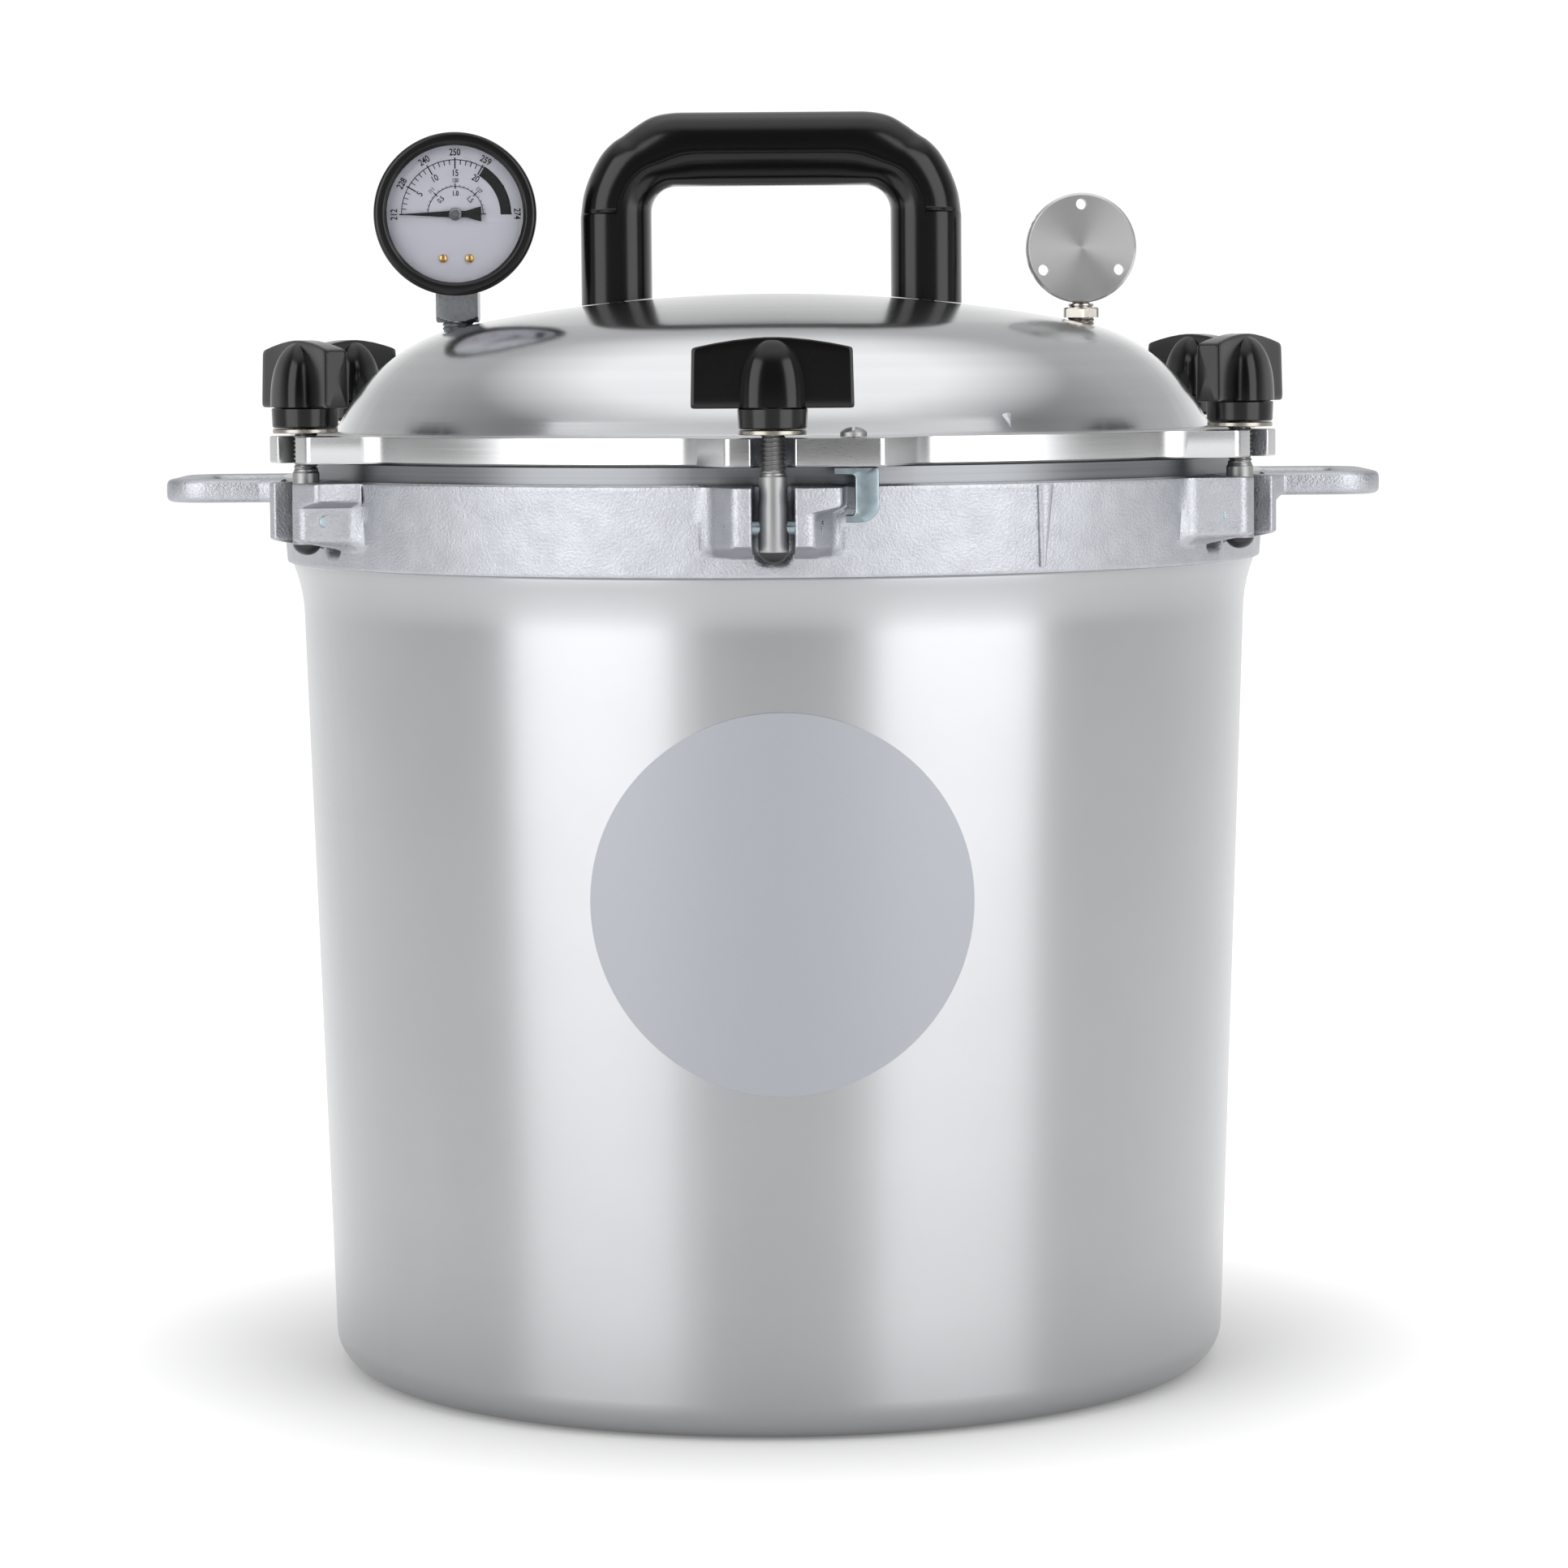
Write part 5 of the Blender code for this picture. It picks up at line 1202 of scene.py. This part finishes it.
socket_foot = dome_height(-GAUGE_X - 7.25 * MM) + 0.3 * MM
socket_top = GAUGE_HEIGHT - 26.7 * MM
socket_block = shifted(prism(4, 7.25 * MM, socket_foot, socket_top, True, False), GAUGE_X)
socket_tongue = shifted(prism(4, 5.5 * MM, socket_top - 0.5 * MM, socket_top + 8 * MM, False, True),
                        GAUGE_X)
socket_neck = shifted(thread_grid(5.45 * MM, 0.6 * MM, 1.4 * MM, socket_foot - 8.4 * MM,
                                  socket_foot + 0.8 * MM), GAUGE_X)
piece("gauge_socket_block", [socket_block, socket_tongue, socket_neck], "lid", [NICKEL],
      ["gauge_socket"], sharp=25)


# ---------------------------------------------------------------------------------------------
# Vent pipe and pressure weight. A nickel-plated hex pipe with a small bore, and a turned steel
# disc with three seats in its rim, one for each pressure, and three holes through it.

VENT_X = 106 * MM
WEIGHT_HEIGHT = dome_height(VENT_X) + 25.3 * MM
WEIGHT_RADIUS = 18.7 * MM
WEIGHT_HALF = 4.97 * MM


def vent_grids():
    """Hex collar, grooved neck and bored tip, and the thread under the dome."""
    base = dome_height(VENT_X)
    hex_low = dome_height(VENT_X - 6.75 * MM) + 0.3 * MM
    hex_high = hex_low + 3.4 * MM
    neck = WEIGHT_HEIGHT - WEIGHT_RADIUS - 0.3 * MM
    tip = neck + 8 * MM
    profile = rounded([(0, hex_high - 1 * MM), (4.35 * MM, hex_high - 1 * MM),
                       (4.35 * MM, neck - 1.5 * MM), (3.9 * MM, neck - 1.3 * MM),
                       (3.9 * MM, neck - 0.9 * MM), (4.35 * MM, neck - 0.7 * MM),
                       (4.3 * MM, neck), (3 * MM, neck), (2.4 * MM, tip), (1.2 * MM, tip),
                       (1.2 * MM, neck), (0, neck - 1 * MM)],
                      [0.1 * MM, 0.1 * MM, 0.1 * MM, 0.1 * MM, 0.1 * MM, 0.15 * MM, 0.2 * MM,
                       0.3 * MM, 0.2 * MM, 0.1 * MM], 4)
    hexagon = prism(6, 6.75 * MM * math.cos(math.pi / 6), hex_low, hex_high, False, True)
    return [lathe(profile, 40), hexagon,
            thread_grid(4.6 * MM, 0.5 * MM, 1.2 * MM, base - 8 * MM, hex_low + 0.6 * MM)]


def weight_grids():
    """Each face is three 120 degree slices; a slice's rows run from the edge of its hole to its own
    border, and the hole's wall joins front and back. The rim is three bands with a seat in each."""
    steps = 32
    hole_at, hole = 14.9 * MM, 1.9 * MM
    face = WEIGHT_RADIUS - 0.8 * MM
    grids = []
    for middle in (90, 210, 330):
        turn = np.radians(np.linspace(middle - 60, middle + 60, steps + 1))
        rim = np.stack([np.cos(turn), np.sin(turn)], 1) * face
        inward = np.linspace(1, 0, 9)[1:, None] * rim[-1]
        outward = np.linspace(0, 1, 9)[1:-1, None] * rim[0]
        border = np.concatenate([rim, inward, outward])
        centre = hole_at * np.array([math.cos(math.radians(middle)), math.sin(math.radians(middle))])
        away = border - centre
        circle = centre + hole * away / np.linalg.norm(away, axis=1)[:, None]
        share = np.array([1, 0.6, 0.3, 0.12, 0.04, 0.0])[:, None, None]
        flat = circle + (border - circle) * share
        front = np.concatenate([flat, np.full(flat.shape[:2] + (1,), WEIGHT_HALF)], -1)
        back = front[::-1] * np.array([1, 1, -1])
        grids.append(np.concatenate([front, back]))
    seat, depth = 3.3 * MM, 10 * MM
    band_half = WEIGHT_HALF - 0.8 * MM
    for middle in (270, 30, 150):
        edge = np.linspace(-60, 60, steps + 1)
        up = np.linspace(-band_half, band_half, 9)
        border = np.concatenate([np.stack([edge, np.full(steps + 1, -band_half)], 1),
                                 np.stack([np.full(7, 60.0), up[1:-1]], 1),
                                 np.stack([edge[::-1], np.full(steps + 1, band_half)], 1),
                                 np.stack([np.full(7, -60.0), up[-2:0:-1]], 1)])
        side = np.radians(border[:, 0]) * WEIGHT_RADIUS
        away = np.stack([side, border[:, 1]], 1)
        away /= np.linalg.norm(away, axis=1)[:, None]
        rows = []
        for share in (0, 0.4, 0.7, 0.9, 1):
            across = side * (1 - share) + seat * away[:, 0] * share
            height = border[:, 1] * (1 - share) + seat * away[:, 1] * share
            turn = np.where(share == 1, np.arcsin(np.clip(seat * away[:, 0] / WEIGHT_RADIUS, -1, 1)),
                            across / WEIGHT_RADIUS)
            turn = turn + math.radians(middle)
            rows.append(np.stack([WEIGHT_RADIUS * np.cos(turn), WEIGHT_RADIUS * np.sin(turn),
                                  height], 1))
        out = np.array([math.cos(math.radians(middle)), math.sin(math.radians(middle))])
        lateral = np.array([-out[1], out[0]])
        for scale, radius in ((0.97, WEIGHT_RADIUS - 0.5 * MM), (0.97, depth + 1.5 * MM),
                              (0.0, depth)):
            plan = out * radius + lateral * (seat * away[:, :1] * scale)
            rows.append(np.concatenate([plan, seat * away[:, 1:] * scale], 1))
        grids.append(np.stack(rows))
    turn = np.linspace(0, 2 * math.pi, 3 * steps, endpoint=False)
    for sign in (1, -1):
        profile = [(face, sign * WEIGHT_HALF),
                   (WEIGHT_RADIUS - 0.25 * MM, sign * (WEIGHT_HALF - 0.4 * MM)),
                   (WEIGHT_RADIUS, sign * band_half)]
        rings = [np.stack([r * np.cos(turn), r * np.sin(turn), np.full(len(turn), z)], -1)
                 for r, z in profile]
        grids.append(np.stack(rings))
    return grids


def turned_stainless():
    """Faced stainless: rings about the disc's own axis smear every highlight along the radius."""
    material, tree, place = new_material("turned_stainless")
    centred = add_node(tree, "ShaderNodeVectorMath",
                       {0: place, 1: (VENT_X / MM, 0, WEIGHT_HEIGHT / MM)}, operation="SUBTRACT")
    parts = add_node(tree, "ShaderNodeSeparateXYZ", {"Vector": centred.outputs["Vector"]})
    flat = add_node(tree, "ShaderNodeCombineXYZ", {"X": parts.outputs["X"], "Y": parts.outputs["Z"]})
    radius = add_node(tree, "ShaderNodeVectorMath", {0: flat.outputs["Vector"]}, operation="LENGTH")
    line = add_node(tree, "ShaderNodeCombineXYZ", {"X": radius.outputs["Value"]})
    marks = noise(tree, line.outputs["Vector"], 5.0, 2.0)
    around = add_node(tree, "ShaderNodeVectorMath", {0: centred.outputs["Vector"], 1: (0.0, 1.0, 0.0)},
                      operation="CROSS_PRODUCT")
    return close_material(material, tree, {
        "Base Color": blend_colours(tree, marks, "A8A8A8", "BFBFBF"), "Metallic": 1.0,
        "Roughness": ranged(tree, marks, 0.26, 0.36), "Anisotropic": 0.75, "Anisotropic Rotation": 0.25,
        "Tangent": around.outputs["Vector"], "Normal": bumped(tree, marks, 0.004)})


piece("vent_pipe_hex", [shifted(grid, VENT_X) for grid in vent_grids()], "lid",
      [WARM_NICKEL], ["vent_pipe"], sharp=25)
STAINLESS = turned_stainless()


def welded_piece(name, grids, body, material, replaces):
    """One object from open grids that share their borders: welded, and turned outwards together."""
    mesh = bpy.data.meshes.new(name)
    vertices, faces, offset = [], [], 0
    for grid in grids:
        rows, columns = grid.shape[:2]
        vertices.append(grid.reshape(-1, 3))
        faces.append(grid_faces(rows, columns) + offset)
        offset += rows * columns
    mesh.from_pydata(np.concatenate(vertices).tolist(), [], np.concatenate(faces).tolist())
    weld = bmesh.new()
    weld.from_mesh(mesh)
    bmesh.ops.remove_doubles(weld, verts=weld.verts, dist=2e-6)
    bmesh.ops.dissolve_degenerate(weld, edges=weld.edges, dist=1e-7)
    bmesh.ops.recalc_face_normals(weld, faces=weld.faces)
    weld.to_mesh(mesh)
    weld.free()
    return finish_piece(name, mesh, body, [material], replaces, 25)


welded_piece("weight_disc", [facing(grid, VENT_X, WEIGHT_HEIGHT) for grid in weight_grids()],
             "pressure_weight", STAINLESS, ["pressure_weight"])
weight_items = [("10", -3.4 * MM, -15.2 * MM, 90), ("5", -3.4 * MM, -15.2 * MM, 210),
                ("15", -3.4 * MM, -15.2 * MM, 330)]
weight_place = Matrix(((1, 0, 0, VENT_X), (0, 0, -1, 0), (0, 1, 0, WEIGHT_HEIGHT), (0, 0, 0, 1)))
numerals("weight_numbers", weight_items, WEIGHT_HALF, 0.03 * MM, weight_place, "pressure_weight",
         plain_metal("stamped_number_shadow", "6E6E70", "828284", 0.35))


# ---------------------------------------------------------------------------------------------
# Overpressure plug. Black rubber, with a wide rounded head, pressed in at the back of the dome;
# its stem reaches down through the skin.

RUBBER = painted("black_rubber", "161617", "202021", 0.5, 0.3, 0.02)
PLUG_REACH = 106 * MM
PLUG_HEAD = 8.5 * MM
plug_base = dome_height(PLUG_REACH)
plug_foot = dome_height(PLUG_REACH - PLUG_HEAD) + GAP
plug_profile = rounded([(0, plug_foot + 2.4 * MM), (3.4 * MM, plug_foot + 2.4 * MM),
                        (4.2 * MM, plug_foot + 3 * MM), (6.5 * MM, plug_foot + 3 * MM),
                        (PLUG_HEAD, plug_foot + 1.2 * MM), (PLUG_HEAD, plug_foot),
                        (5.5 * MM, plug_foot), (5 * MM, plug_base - 8 * MM),
                        (0, plug_base - 8 * MM)],
                       [0.3 * MM, 0.3 * MM, 1.2 * MM, 0.8 * MM, 0.2 * MM, 0.5 * MM, 1 * MM], 5)
piece("relief_plug", [shifted(lathe(plug_profile, 48), 0, PLUG_REACH)], "overpressure_plug",
      [RUBBER], ["overpressure_plug"])


# ---------------------------------------------------------------------------------------------
# Hidden works and rack. The Bourdon tube, sector gear and movement plate in the gauge's case, and
# the perforated rack in the pot, keep their simple shapes and take the metal they are made of.

SHEET = plain_metal("rolled_aluminium_sheet", "A6A8AA", "B6B8BA", 0.26)
for node, metal in (("bourdon_tube", BRASS), ("sector_gear", BRASS), ("movement_plate", BRASS),
                    ("jar_rack", SHEET)):
    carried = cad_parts[node]
    carried.data.materials.clear()
    carried.data.materials.append(metal)


# ---------------------------------------------------------------------------------------------
# Label. A plain satin grey foil disc stuck on the front of the wall; it carries no print.

def label_grid():
    """Rings about the disc's centre, laid on the wall's cone: front from the centre out, then
    back."""
    radius = 61 * MM
    out = np.linspace(0, radius, 16)
    ring = np.concatenate([out, [radius], np.linspace(radius, 0, 16)])[:, None]
    lift = np.concatenate([np.full(16, 0.16), [0.08], np.full(16, 0.0)])[:, None] * MM
    turn = np.linspace(0, 2 * math.pi, 128, endpoint=False)[None, :]
    x = 2 * MM + ring * np.cos(turn)
    z = 173.5 * MM + ring * np.sin(turn)
    wall = wall_radius(z) + 0.05 * MM + lift
    return np.stack([x, -np.sqrt(wall ** 2 - x ** 2), z], -1)


def foil():
    """Satin grey foil: half metallic, even, with a faint fine grain."""
    material, tree, place = new_material("satin_grey_foil")
    grain = noise(tree, place, 3.0, 2.0)
    return close_material(material, tree, {
        "Base Color": blend_colours(tree, grain, "8C8F94", "93969B"), "Metallic": 0.5,
        "Roughness": ranged(tree, grain, 0.42, 0.5), "Normal": bumped(tree, grain, 0.003)})


piece("front_label", [label_grid()], "pot", [foil()])


# ---------------------------------------------------------------------------------------------
# Stage. A pale floor that brightens with distance, a soft box to each side of the camera, a
# studio world and the camera.

def stage_floor():
    """A wide floor just under the feet, lit from within away from the middle."""
    mesh = bpy.data.meshes.new("floor")
    mesh.from_pydata([(-9, -9, 0), (9, -9, 0), (9, 9, 0), (-9, 9, 0)], [], [(0, 1, 2, 3)])
    material, tree, place = new_material("pale_floor")
    away = add_node(tree, "ShaderNodeVectorMath", {0: place}, operation="LENGTH").outputs["Value"]
    mesh.materials.append(close_material(material, tree, {
        "Base Color": srgb("BEBEBE"), "Roughness": 0.7, "Specular IOR Level": 0.0,
        "Emission Color": srgb("FFFFFF"),
        "Emission Strength": ranged(tree, away, 0.16, 0.7, 155, 300)}))
    obj = bpy.data.objects.new("floor", mesh)
    obj.location.z = -0.0002
    bpy.context.scene.collection.objects.link(obj)
    obj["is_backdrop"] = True


def soft_box(name, place, aim, width, height, power):
    """A rectangular area light at a place, aimed at a point."""
    data = bpy.data.lights.new(name, "AREA")
    data.shape = "RECTANGLE"
    data.size = width
    data.size_y = height
    data.energy = power
    obj = bpy.data.objects.new(name, data)
    place, aim = np.array(place, float), np.array(aim, float)
    obj.matrix_world = look_matrix(place, aim)
    bpy.context.scene.collection.objects.link(obj)


def look_matrix(place, aim):
    """Matrix of a light or camera at a place whose -Z looks at a point, with +Y up."""
    back = (place - aim) / np.linalg.norm(place - aim)
    right = np.cross((0, 0, 1), back)
    right /= np.linalg.norm(right)
    up = np.cross(back, right)
    matrix = np.eye(4)
    matrix[:3, 0], matrix[:3, 1], matrix[:3, 2], matrix[:3, 3] = right, up, back, place
    return Matrix(matrix.tolist())


def stage_world():
    """White behind the canner and grey towards the camera, darker above the horizon and bright
    overhead, so that metal has something to reflect."""
    world = bpy.data.worlds.new("studio")
    bpy.context.scene.world = world
    world.use_nodes = True
    tree = world.node_tree
    tree.nodes.clear()
    place = add_node(tree, "ShaderNodeTexCoord").outputs["Generated"]
    parts = add_node(tree, "ShaderNodeSeparateXYZ", {"Vector": place})
    level = ranged(tree, parts.outputs["Y"], 0.12, 1.05, -0.5, 0.6)
    ceiling = ranged(tree, parts.outputs["Z"], 1.0, 0.66, 0.1, 0.32)
    level = add_node(tree, "ShaderNodeMath", {0: level, 1: ceiling},
                     operation="MULTIPLY").outputs[0]
    above = ranged(tree, parts.outputs["Z"], 0.0, 1.0, 0.68, 0.9)
    value = add_node(tree, "ShaderNodeMix", {0: above, 2: level, 3: 1.7}).outputs[0]
    grey = add_node(tree, "ShaderNodeCombineColor", {"Red": value, "Green": value, "Blue": value})
    light = add_node(tree, "ShaderNodeBackground", {"Color": grey.outputs["Color"], "Strength": 1.0})
    add_node(tree, "ShaderNodeOutputWorld", {"Surface": light.outputs["Background"]})


def stage_camera():
    """A long lens a little above the middle, tipped slightly down and rolled by under a degree."""
    data = bpy.data.cameras.new("camera")
    data.lens = 116.7
    data.sensor_width = 36.0
    obj = bpy.data.objects.new("camera", data)
    level = look_matrix(np.array([0, -1.75, 0.352]), np.array([0.003, 0, 0.198]))
    obj.matrix_world = level @ Matrix.Rotation(math.radians(-0.42), 4, "Z")
    bpy.context.scene.collection.objects.link(obj)
    bpy.context.scene.camera = obj


stage_floor()
stage_world()
for word, sign in (("left", -1), ("right", 1)):
    soft_box(word + "_box", (sign * 1.5, -1.58, 1.05), (0, 0, 0.3), 1.8, 2.2, 42)
stage_camera()
bpy.context.scene.view_settings.view_transform = "Standard"

low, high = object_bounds()
